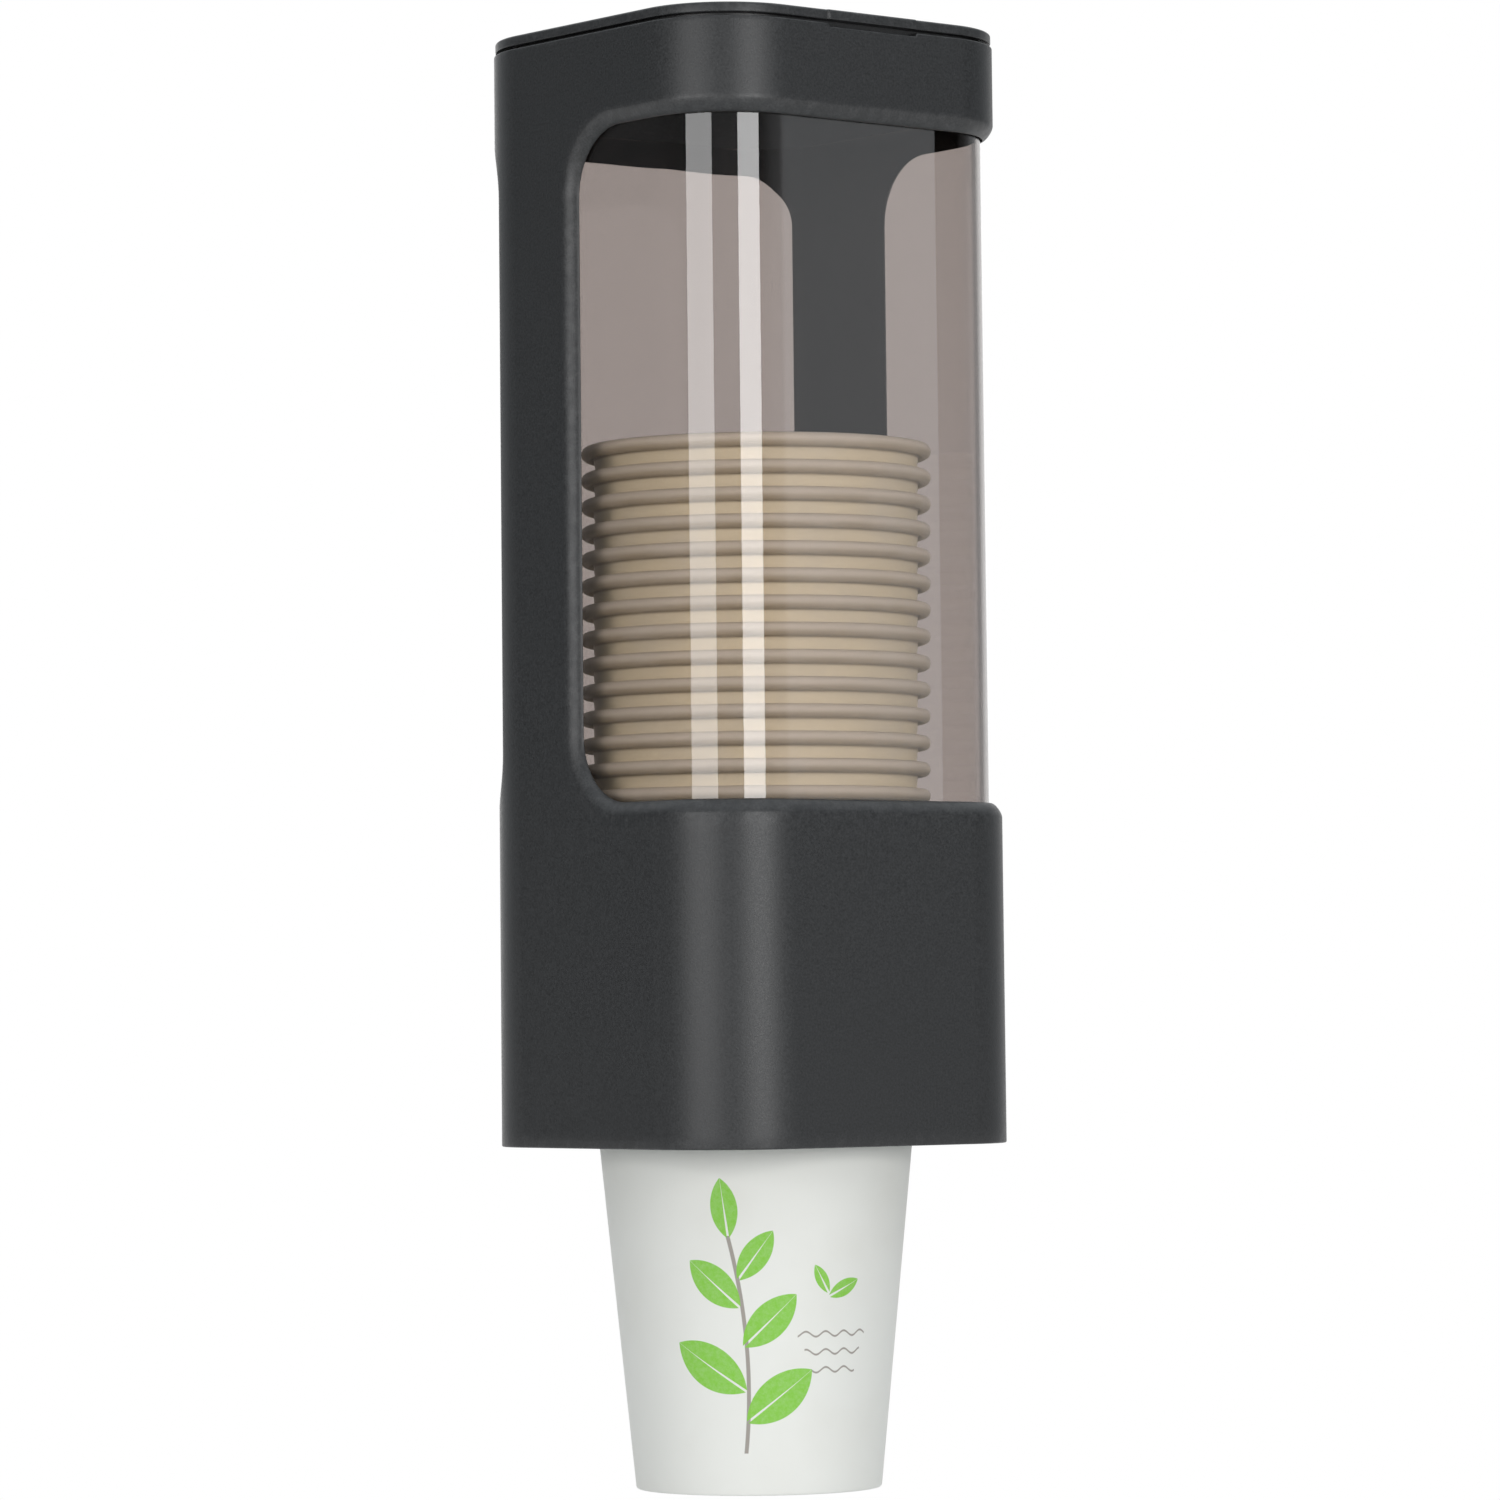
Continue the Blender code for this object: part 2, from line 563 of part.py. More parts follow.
def build_lid(plastic):
    """Hinged lid: a plate with a finger tab, a locating rim below and a roll at the rear."""
    mesh_data = bmesh.new()
    shoulder = LID_TOP_Z - LID_EDGE_ROUND
    levels = [(LID_BOTTOM_Z, 0.0), (shoulder, 0.0), (LID_TOP_Z, LID_EDGE_ROUND)]
    add_stack(mesh_data, [lid_loop(z, inset, TAB_PROUD) for z, inset in levels])
    lid = finish_mesh("lid", mesh_data, plastic)
    place_origin(lid, (0.0, HINGE_Y, HINGE_Z))

    rim = bmesh.new()
    end = SIDE_END + CORNER_RADIUS - LID_RIM_TO_BACK
    places = [-end] + [s for s in corner_marks() if -end < s < end] + [end]
    outer = HOUSING_WALL + LID_RIM_CLEARANCE
    inner = outer + LID_RIM_WALL
    low, high = LID_BOTTOM_Z - LID_RIM_DEPTH, LID_BOTTOM_Z + LID_THICKNESS / 2
    loops = []
    for z in (low, high):
        loop = [skin(s, z, outer) for s in places] + [skin(s, z, inner) for s in reversed(places)]
        loops.append(loop)
    add_stack(rim, loops)
    apply_tool(lid, "lid_rim", rim, "UNION")

    roll = bmesh.new()
    ends = [(side * ROLL_HALF_LENGTH, HINGE_Y, HINGE_Z) for side in (-1, 1)]
    add_rod(roll, ends[0], ends[1], ROLL_RADIUS, BOSS_SIDES)
    apply_tool(lid, "lid_roll", roll, "UNION")

    bores = bmesh.new()
    for side in (-1, 1):
        start = side * (ROLL_HALF_LENGTH + OVERRUN)
        end = side * (ROLL_HALF_LENGTH - HINGE_PIN_IN_ROLL - BLIND_END)
        bore = HINGE_PIN_RADIUS + SEAT_GAP
        add_rod(bores, (start, HINGE_Y, HINGE_Z), (end, HINGE_Y, HINGE_Z), bore, SCREW_SIDES)
    apply_tool(lid, "lid_bores", bores, "DIFFERENCE")
    return lid


def place_origin(item, point):
    """Moves an object's origin to a point, such as one on its joint's axis."""
    item.data.transform(Matrix.Translation(-Vector(point)))
    item.location = point


def build_hinge_pins(steel):
    """Two short pins that carry the lid's roll between the knuckles."""
    for side, name in ((-1, "hinge_pin_left"), (1, "hinge_pin_right")):
        start = side * (ROLL_HALF_LENGTH - HINGE_PIN_IN_ROLL)
        end = start + side * HINGE_PIN_LENGTH
        mesh_data = bmesh.new()
        ends = [(x, HINGE_Y, HINGE_Z) for x in (start, end)]
        add_rod(mesh_data, ends[0], ends[1], HINGE_PIN_RADIUS, SCREW_SIDES)
        finish_mesh(name, mesh_data, steel)


def build_collar(plastic):
    """Plate with the throat, a guide wall round it, and bosses for the dials' screws."""
    places = sorted({s % FULL_TURN for s in corner_marks()})
    mesh_data = bmesh.new()
    levels = (COLLAR_Z, COLLAR_TOP_Z)
    add_stack(mesh_data, [[skin(s, z, SLEEVE_INSET) for s in places] for z in levels])
    collar = finish_mesh("throat_collar", mesh_data, plastic)

    raised = bmesh.new()
    low = COLLAR_Z + COLLAR_PLATE / 2
    top = COLLAR_TOP_Z + COLLAR_HEIGHT
    outer = THROAT_RADIUS + COLLAR_WALL
    add_rod(raised, (0, THROAT_Y, low), (0, THROAT_Y, top), outer, THROAT_SIDES)
    for side, end in CORNERS.values():
        x, y = dial_place(side, end)
        add_rod(raised, (x, y, low), (x, y, COLLAR_TOP_Z + BOSS_HEIGHT), BOSS_RADIUS, BOSS_SIDES)
    apply_tool(collar, "collar_raised", raised, "UNION")

    holes = bmesh.new()
    under = COLLAR_Z - OVERRUN
    add_rod(holes, (0, THROAT_Y, under), (0, THROAT_Y, top + OVERRUN), THROAT_RADIUS, THROAT_SIDES)
    for side, end in CORNERS.values():
        x, y = post_place(side, end)
        add_rod(holes, (x, y, under), (x, y, COLLAR_TOP_Z + OVERRUN), HOLE_RADIUS, SCREW_SIDES)
        x, y = dial_place(side, end)
        blind = COLLAR_TOP_Z + BOSS_HEIGHT - BLIND_END
        add_rod(holes, (x, y, under), (x, y, blind), HOLE_RADIUS, SCREW_SIDES)
    apply_tool(collar, "collar_holes", holes, "DIFFERENCE")
    return collar


def dial_place(side, end):
    """Plan place of a size dial's axis, on the diagonal through the throat."""
    reach = DIAL_ORBIT / math.sqrt(2)
    return side * reach, THROAT_Y + end * reach


def inward_turn(side, end):
    """Turn about +Z that points +X from a dial's axis to the throat's axis."""
    return Matrix.Rotation(math.atan2(-end, -side), 4, "Z")


def build_dials(plastic, rubber):
    """Four dials under the collar, each with a flexible tongue that holds the cup's bead."""
    tip = DIAL_ORBIT - cup_wall(TONGUE_TOP_Z - CUP_BASE_Z) - TONGUE_CUP_CLEARANCE
    for corner, (side, end) in CORNERS.items():
        x, y = dial_place(side, end)
        axis = (x, y, DIAL_TOP_Z)
        turn = Matrix.Translation((x, y, 0)) @ inward_turn(side, end)

        mesh_data = bmesh.new()
        add_rod(mesh_data, (x, y, DIAL_BOTTOM_Z), (x, y, DIAL_TOP_Z), DIAL_RADIUS, DIAL_SIDES)
        dial = finish_mesh(f"size_dial_{corner}", mesh_data, plastic)
        place_origin(dial, axis)

        grip = bmesh.new()
        half, width = DIAL_GRIP_LENGTH / 2, DIAL_GRIP_WIDTH / 2
        low = DIAL_BOTTOM_Z - DIAL_GRIP_HEIGHT
        add_block(grip, (-half, -width, low), (half, width, DIAL_BOTTOM_Z + DIAL_THICKNESS / 2), turn)
        apply_tool(dial, f"dial_grip_{corner}", grip, "UNION")

        space = bmesh.new()
        side_gap = TONGUE_WIDTH / 2 + SEAT_GAP
        root = TONGUE_ROOT - SEAT_GAP
        ceiling = DIAL_TOP_Z + OVERRUN
        floor = TONGUE_BOTTOM_Z - SEAT_GAP
        add_block(space, (root, -side_gap, floor), (DIAL_RADIUS + OVERRUN, side_gap, ceiling), turn)
        apply_tool(dial, f"dial_slot_{corner}", space, "DIFFERENCE")

        bore = bmesh.new()
        add_rod(bore, (x, y, low - OVERRUN), (x, y, ceiling), HOLE_RADIUS, SCREW_SIDES)
        apply_tool(dial, f"dial_bore_{corner}", bore, "DIFFERENCE")
        seat = bmesh.new()
        seat_radius = SCREW_HEAD_RADIUS + SEAT_GAP
        add_rod(seat, (x, y, low - OVERRUN), (x, y, DIAL_BOTTOM_Z), seat_radius, BOSS_SIDES)
        apply_tool(dial, f"dial_seat_{corner}", seat, "DIFFERENCE")

        mesh_data = bmesh.new()
        width = TONGUE_WIDTH / 2
        root = (TONGUE_ROOT, -width, TONGUE_BOTTOM_Z)
        add_block(mesh_data, root, (tip, width, TONGUE_TOP_Z), turn)
        tongue = finish_mesh(f"stop_tongue_{corner}", mesh_data, rubber)
        place_origin(tongue, axis)


def build_screw(name, steel, x, y, head_top_z, tip_z):
    """Slotted screw pointing up, its head under head_top_z."""
    bottom = head_top_z - SCREW_HEAD_HEIGHT
    mesh_data = bmesh.new()
    add_rod(mesh_data, (x, y, bottom), (x, y, head_top_z), SCREW_HEAD_RADIUS, SCREW_SIDES)
    screw = finish_mesh(name, mesh_data, steel)
    place_origin(screw, (x, y, head_top_z))
    shank = bmesh.new()
    low = head_top_z - SCREW_HEAD_HEIGHT / 2
    add_rod(shank, (x, y, low), (x, y, tip_z), SCREW_RADIUS, SCREW_SIDES)
    apply_tool(screw, f"{name}_shank", shank, "UNION")
    slot = bmesh.new()
    half = SCREW_SLOT_WIDTH / 2
    reach = SCREW_HEAD_RADIUS + OVERRUN
    corner_low = (x - reach, y - half, bottom - OVERRUN)
    add_block(slot, corner_low, (x + reach, y + half, bottom + SCREW_SLOT_DEPTH))
    apply_tool(screw, f"{name}_slot", slot, "DIFFERENCE")


def build_screws(steel):
    """Screws that hold the collar to the posts, and screws that the dials turn on."""
    for corner, (side, end) in CORNERS.items():
        x, y = post_place(side, end)
        tip = COLLAR_TOP_Z + SCREW_BITE
        build_screw(f"collar_screw_{corner}", steel, x, y, COLLAR_Z - SEAT_GAP, tip)
        x, y = dial_place(side, end)
        tip = COLLAR_TOP_Z + BOSS_HEIGHT - BLIND_END - SEAT_GAP
        build_screw(f"dial_screw_{corner}", steel, x, y, DIAL_BOTTOM_Z - SEAT_GAP, tip)


def build_pads(foam):
    """Two foam pads that stick the back to the wall."""
    upper_z = BAND_Z + BAND_HEIGHT / 2
    places = {"wall_pad_lower": (0, LOWER_PAD_HEIGHT), "wall_pad_upper": (upper_z, UPPER_PAD_HEIGHT)}
    for name, (z, height) in places.items():
        mesh_data = bmesh.new()
        half, side = height / 2, PAD_WIDTH / 2
        add_block(mesh_data, (-side, -PAD_THICKNESS, z - half), (side, 0, z + half))
        finish_mesh(name, mesh_data, foam)


def cup_wall(z):
    """Outer radius of a cup's wall at a height above its foot."""
    return CUP_FOOT_RADIUS + CUP_FLARE * z / CUP_HEIGHT


def cup_profile():
    """Half section of a cup as (radius, height), from under its floor over the bead to its floor."""
    bead_z = CUP_HEIGHT - CUP_BEAD_HEIGHT
    lip_z = CUP_HEIGHT - CUP_BEAD_HEIGHT * BEAD_WAIST_SHARE
    floor = CUP_FOOT_RECESS + CUP_PAPER
    fold = CUP_FOOT_RADIUS - CUP_FOOT_FOLD
    crown = CUP_RIM_RADIUS - CUP_BEAD_OVERHANG * BEAD_FLAT_SHARE
    return [
        (0.0, CUP_FOOT_RECESS),
        (fold, CUP_FOOT_RECESS),
        (fold, 0.0),
        (CUP_FOOT_RADIUS, 0.0),
        (cup_wall(bead_z), bead_z),
        (CUP_RIM_RADIUS, bead_z + CUP_BEAD_HEIGHT * BEAD_WAIST_SHARE),
        (CUP_RIM_RADIUS, bead_z + CUP_BEAD_HEIGHT * BEAD_CROWN_SHARE),
        (crown, CUP_HEIGHT),
        (cup_wall(lip_z) - CUP_PAPER, lip_z),
        (cup_wall(floor) - CUP_PAPER, floor),
        (0.0, floor),
    ]


def build_cups(paper):
    """The nested stack, lowest cup first. Each cup leans a hair on the one below it."""
    mesh_data = bmesh.new()
    profile = cup_profile()
    poles = [mesh_data.verts.new((0, 0, profile[i][1])) for i in (0, -1)]
    rings = []
    for radius, z in profile[1:-1]:
        angles = [2 * math.pi * i / CUP_SIDES for i in range(CUP_SIDES)]
        ring = [(radius * math.cos(a), radius * math.sin(a), z) for a in angles]
        rings.append([mesh_data.verts.new(point) for point in ring])
    for lower, upper in zip(rings, rings[1:]):
        join_loops(mesh_data, lower, upper)
    for pole, ring in zip(poles, (rings[0], rings[-1])):
        for i in range(CUP_SIDES):
            mesh_data.faces.new((pole, ring[i], ring[(i + 1) % CUP_SIDES]))
    first = finish_mesh("cup_01", mesh_data, paper)
    first.location = (0.0, THROAT_Y, CUP_BASE_Z)
    for i in range(1, CUP_COUNT):
        cup = bpy.data.objects.new(f"cup_{i + 1:02d}", first.data)
        cup.location = (CUP_LEAN_X * i, THROAT_Y + CUP_LEAN_Y * i, CUP_BASE_Z + CUP_PITCH * i)
        bpy.context.collection.objects.link(cup)


def main():
    """Builds the dispenser, one named object for each piece."""
    remove_everything()
    black = make_material("body_plastic", (0.045, 0.047, 0.049), 0.5)
    smoked = make_material("smoked_clear", (0.32, 0.29, 0.28), 0.05, alpha=0.5)
    grey = make_material("mechanism_plastic", (0.55, 0.56, 0.56), 0.45)
    rubber = make_material("tongue_rubber", (0.72, 0.72, 0.70), 0.6)
    steel = make_material("screw_steel", (0.62, 0.62, 0.60), 0.3, metallic=1.0)
    foam = make_material("pad_foam", (0.80, 0.80, 0.78), 0.9)
    paper = make_material("cup_paper", (0.80, 0.79, 0.74), 0.6)
    build_housing(black)
    build_sleeve(smoked)
    build_lid(black)
    build_hinge_pins(steel)
    build_collar(black)
    build_dials(grey, rubber)
    build_screws(steel)
    build_pads(foam)
    build_cups(paper)


main()
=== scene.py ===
"""Looks of a wall-hung dispenser for paper cups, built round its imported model.

Metres, +Z up, front towards -Y, wall in the plane y = 0. Every piece is a surface worked out on a
grid of two parameters and stands where its solid stands.
"""

import logging
import math
from dataclasses import dataclass
from enum import Enum
from typing import Callable

import bmesh
import bpy
import numpy as np
from mathutils import Matrix, Vector


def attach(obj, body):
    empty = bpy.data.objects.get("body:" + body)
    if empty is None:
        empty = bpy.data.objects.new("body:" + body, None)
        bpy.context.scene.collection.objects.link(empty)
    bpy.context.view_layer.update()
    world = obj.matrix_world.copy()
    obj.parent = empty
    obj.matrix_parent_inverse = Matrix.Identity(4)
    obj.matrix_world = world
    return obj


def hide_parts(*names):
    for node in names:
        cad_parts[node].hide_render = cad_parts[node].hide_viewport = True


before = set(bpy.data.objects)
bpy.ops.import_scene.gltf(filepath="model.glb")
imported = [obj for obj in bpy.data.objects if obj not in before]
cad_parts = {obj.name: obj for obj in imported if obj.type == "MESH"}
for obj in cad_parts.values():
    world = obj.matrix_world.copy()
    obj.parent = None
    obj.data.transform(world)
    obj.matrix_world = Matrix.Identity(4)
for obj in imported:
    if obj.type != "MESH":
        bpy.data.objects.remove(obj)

LOG = logging.getLogger("cup_dispenser")
Array = np.ndarray
Spread = Array | float
Pair = tuple[float, float]
Triple = tuple[float, float, float]
Piece = bpy.types.Object
Material = bpy.types.Material
Node = bpy.types.Node
Outputs = bpy.types.NodeOutputs
Socket = bpy.types.NodeSocket
Tree = bpy.types.NodeTree
Signal = Socket | float | tuple[float, ...]
Swell = Callable[[Array, Array], Array]

QUARTER = math.pi / 2
FULL_TURN = 2 * math.pi
SAME_PLACE = 1e-6
BROAD_CREASE = 50.0
CREASE = 35.0
FINE_CREASE = 30.0
END_SHARE = 0.96
BEND_STEPS = 4
BOWL_STEPS = 8
PIN_TURNS = 32
POST_TURNS = 40
HEAD_TURNS = 48


class Corner(Enum):
    """The four corners of the throat, as the side and the end they lie at."""

    FRONT_LEFT = (-1, -1)
    FRONT_RIGHT = (1, -1)
    REAR_LEFT = (-1, 1)
    REAR_RIGHT = (1, 1)

    @property
    def label(self) -> str:
        """The corner's name as node names carry it."""
        return self.name.lower()


class Axis(Enum):
    """One of the three directions, by its number in a point."""

    X = 0
    Y = 1
    Z = 2


class Join(Enum):
    """How one solid works on another."""

    ADD = "UNION"
    CUT = "DIFFERENCE"


# Curves and grids


def joined(*parts: Spread) -> Array:
    """Points or vectors out of their components, which broadcast."""
    return np.stack(np.broadcast_arrays(*parts), axis=-1)


def arc(centre: Pair, radius: float, start: float, end: float, steps: int) -> Array:
    """Points evenly round a circle: centre + radius (cos a, sin a), a from start to end."""
    a = np.linspace(start, end, steps + 1)
    return joined(centre[0] + radius * np.cos(a), centre[1] + radius * np.sin(a))


def path(*parts: Array | Pair) -> Array:
    """One profile of (radius, height) points out of single points and runs of points."""
    return np.concatenate([np.atleast_2d(np.asarray(part, float)) for part in parts])


def closed(points: Array) -> Array:
    """Run of points that ends on its first one."""
    return np.concatenate([points, points[:1]])


def set_at(outline: Array, axis: Axis, place: float) -> Array:
    """Flat outline as points in space, all at one place along the axis square to it."""
    return np.insert(outline, axis.value, place, axis=1)


def spread(marks: list[float], step: float) -> Array:
    """Places along a line that keep every mark, with even steps between the marks.

    Args:
        marks: places to keep, in order.
        step: the longest step allowed.

    Returns:
        The places, from the first mark to the last.
    """
    runs = []
    for low, high in zip(marks, marks[1:]):
        count = max(1, math.ceil(abs(high - low) / step))
        runs.append(np.linspace(low, high, count + 1)[:-1])
    return np.concatenate(runs + [np.array([marks[-1]])])


def turned(
    profile: Array, centre: Triple, axis: Axis = Axis.Z, turns: int = PIN_TURNS, swell: Swell | None = None
) -> Array:
    """Surface of revolution.

    Point (i, j) lies at radius r_i + swell(a_j, h_i) and height h_i along the axis, at angle a_j.

    Args:
        profile: (radius, height) points, the height measured from the centre.
        centre: where the profile's zero stands.
        axis: the way the axis points, along X or Z.
        turns: steps round the axis.
        swell: extra radius as a function of angle and height.

    Returns:
        Grid of points, one row for each profile point, its last column on its first.
    """
    angle = np.linspace(0, FULL_TURN, turns + 1)[None, :]
    radius, height = profile.T[:, :, None]
    if swell is not None:
        radius = np.maximum(radius + swell(angle, height), 0)
    across, up = radius * np.cos(angle), radius * np.sin(angle)
    parts = (height, across, up) if axis is Axis.X else (across, up, height)
    return joined(*parts) + np.asarray(centre, float)


def rounded_block(low: Triple, high: Triple, radius: float, steps: int = BEND_STEPS) -> Array:
    """Box with all edges rounded, as one grid.

    Each point is the box's inner corner of its octant plus radius times a sphere's normal; rows
    at the poles close the flat top and bottom.

    Args:
        low: lowest corner.
        high: highest corner.
        radius: of the edges.
        steps: across each rounded quarter.

    Returns:
        Grid of points, its last column on its first.
    """
    low, high = np.asarray(low, float), np.asarray(high, float)
    centre, inner = (low + high) / 2, (high - low) / 2 - radius
    quarter = np.linspace(0, QUARTER, steps + 1)
    turn = np.concatenate([quarter + QUARTER * k for k in range(4)] + [np.zeros(1)])
    side = closed(np.repeat([[1, 1], [-1, 1], [-1, -1], [1, -1]], steps + 1, axis=0))
    tilt = np.concatenate([quarter - QUARTER, quarter])[:, None]
    hand = np.repeat([-1.0, 1.0], steps + 1)[:, None]
    normal = joined(np.cos(tilt) * np.cos(turn), np.cos(tilt) * np.sin(turn), np.sin(tilt))
    grid = centre + joined(*side.T, hand) * inner + radius * normal
    ends = [np.broadcast_to(grid[i].mean(axis=0), (1, *grid.shape[1:])) for i in (0, -1)]
    return np.concatenate([ends[0], grid, ends[1]])


def closed_loft(loops: list[Array]) -> Array:
    """Grid through closed loops, with a pole at the middle of the first and the last.

    A row at END_SHARE of the way from the pole keeps each end flat up to its edge.

    Args:
        loops: loops of equally many points, from one end to the other.

    Returns:
        Grid of points, its last column on its first.
    """
    rows = [closed(loop) for loop in loops]
    poles = [np.broadcast_to(loops[i].mean(axis=0), rows[0].shape) for i in (0, -1)]
    near = [pole * (1 - END_SHARE) + row * END_SHARE for pole, row in zip(poles, (rows[0], rows[-1]))]
    return np.stack([poles[0], near[0], *rows, near[1], poles[1]])


def placed(grid: Array, turn: float, centre: Pair) -> Array:
    """Grid turned about a vertical line through the origin, then moved in plan.

    Args:
        grid: points.
        turn: angle in radians.
        centre: where the line ends up.

    Returns:
        Grid of the same shape.
    """
    x = grid[..., 0] * math.cos(turn) - grid[..., 1] * math.sin(turn) + centre[0]
    y = grid[..., 0] * math.sin(turn) + grid[..., 1] * math.cos(turn) + centre[1]
    return joined(x, y, grid[..., 2])


class Shell:
    """Collects grids of points and makes one mesh object of them."""

    def __init__(self) -> None:
        """Starts with no grids."""
        self.points: list[Array] = []
        self.quads: list[Array] = []
        self.marks: dict[str, list[Array]] = {"worn": [], "outside": []}
        self.charts: list[Array] = []
        self.total = 0

    def add(
        self, grid: Array, worn: Spread = 0.0, outside: Spread = 0.0, chart: Array | None = None
    ) -> "Shell":
        """Adds a grid, whose neighbouring points become four-sided faces.

        Args:
            grid: points by row and column.
            worn: 0 to 1, how exposed each point is to rubbing.
            outside: 0 to 1, where the printed side is.
            chart: flat place (u, v) of each point.

        Returns:
            The shell itself.
        """
        rows, columns = grid.shape[:2]
        index = np.arange(rows * columns).reshape(rows, columns) + self.total
        corners = (index[:-1, :-1], index[:-1, 1:], index[1:, 1:], index[1:, :-1])
        self.quads.append(np.stack(corners, axis=-1).reshape(-1, 4))
        self.points.append(grid.reshape(-1, 3))
        for mark, values in (("worn", worn), ("outside", outside)):
            self.marks[mark].append(np.broadcast_to(values, (rows, columns)).ravel())
        flat = np.zeros((rows, columns, 2)) if chart is None else chart
        self.charts.append(flat.reshape(-1, 2))
        self.total += rows * columns
        return self

    def to_object(self, name: str, crease: float = CREASE, charted: bool = False) -> Piece:
        """Makes the mesh, closes its seams and poles and turns its faces outwards.

        Args:
            name: the piece's name.
            crease: edges sharper than this many degrees stay sharp.
            charted: keeps the flat places as a UV map and the printed side as an attribute.

        Returns:
            The new object, standing at the origin.
        """
        mesh = bpy.data.meshes.new(name)
        quads = np.concatenate(self.quads)
        mesh.from_pydata(np.concatenate(self.points), [], quads)
        for mark in ("worn", "outside") if charted else ("worn",):
            values = np.concatenate(self.marks[mark]).astype(np.float32)
            mesh.attributes.new(mark, "FLOAT", "POINT").data.foreach_set("value", values)
        if charted:
            flat = np.concatenate(self.charts)[quads.ravel()].astype(np.float32)
            mesh.uv_layers.new(name="wall_chart").data.foreach_set("uv", flat.ravel())
        work = bmesh.new()
        work.from_mesh(mesh)
        bmesh.ops.remove_doubles(work, verts=work.verts, dist=SAME_PLACE)
        bmesh.ops.recalc_face_normals(work, faces=work.faces)
        work.to_mesh(mesh)
        work.free()
        smooth(mesh, crease)
        piece = bpy.data.objects.new(name, mesh)
        bpy.context.scene.collection.objects.link(piece)
        return piece


def smooth(mesh: bpy.types.Mesh, crease: float) -> None:
    """Shades a mesh smooth, apart from edges sharper than crease degrees."""
    mesh.shade_smooth()
    mesh.set_sharp_from_angle(angle=math.radians(crease))


def combine(piece: Piece, tool_shell: Shell, how: Join, crease: float = CREASE) -> None:
    """Adds a solid to a piece or cuts it away, and keeps the result as the piece's mesh.

    Args:
        piece: what is worked on.
        tool_shell: the solid, which doesn't stay.
        how: add or cut.
        crease: edges sharper than this many degrees stay sharp.
    """
    tool = tool_shell.to_object(f"{piece.name}_tool")
    step = piece.modifiers.new("combine", "BOOLEAN")
    step.operation = how.value
    step.solver = "EXACT"
    step.object = tool
    view = bpy.context.evaluated_depsgraph_get()
    mesh = bpy.data.meshes.new_from_object(piece.evaluated_get(view))
    piece.modifiers.clear()
    old, piece.data = piece.data, mesh
    mesh.name = piece.name
    spent = tool.data
    bpy.data.objects.remove(tool)
    for unused in (old, spent):
        bpy.data.meshes.remove(unused)
    smooth(mesh, crease)


# Node trees


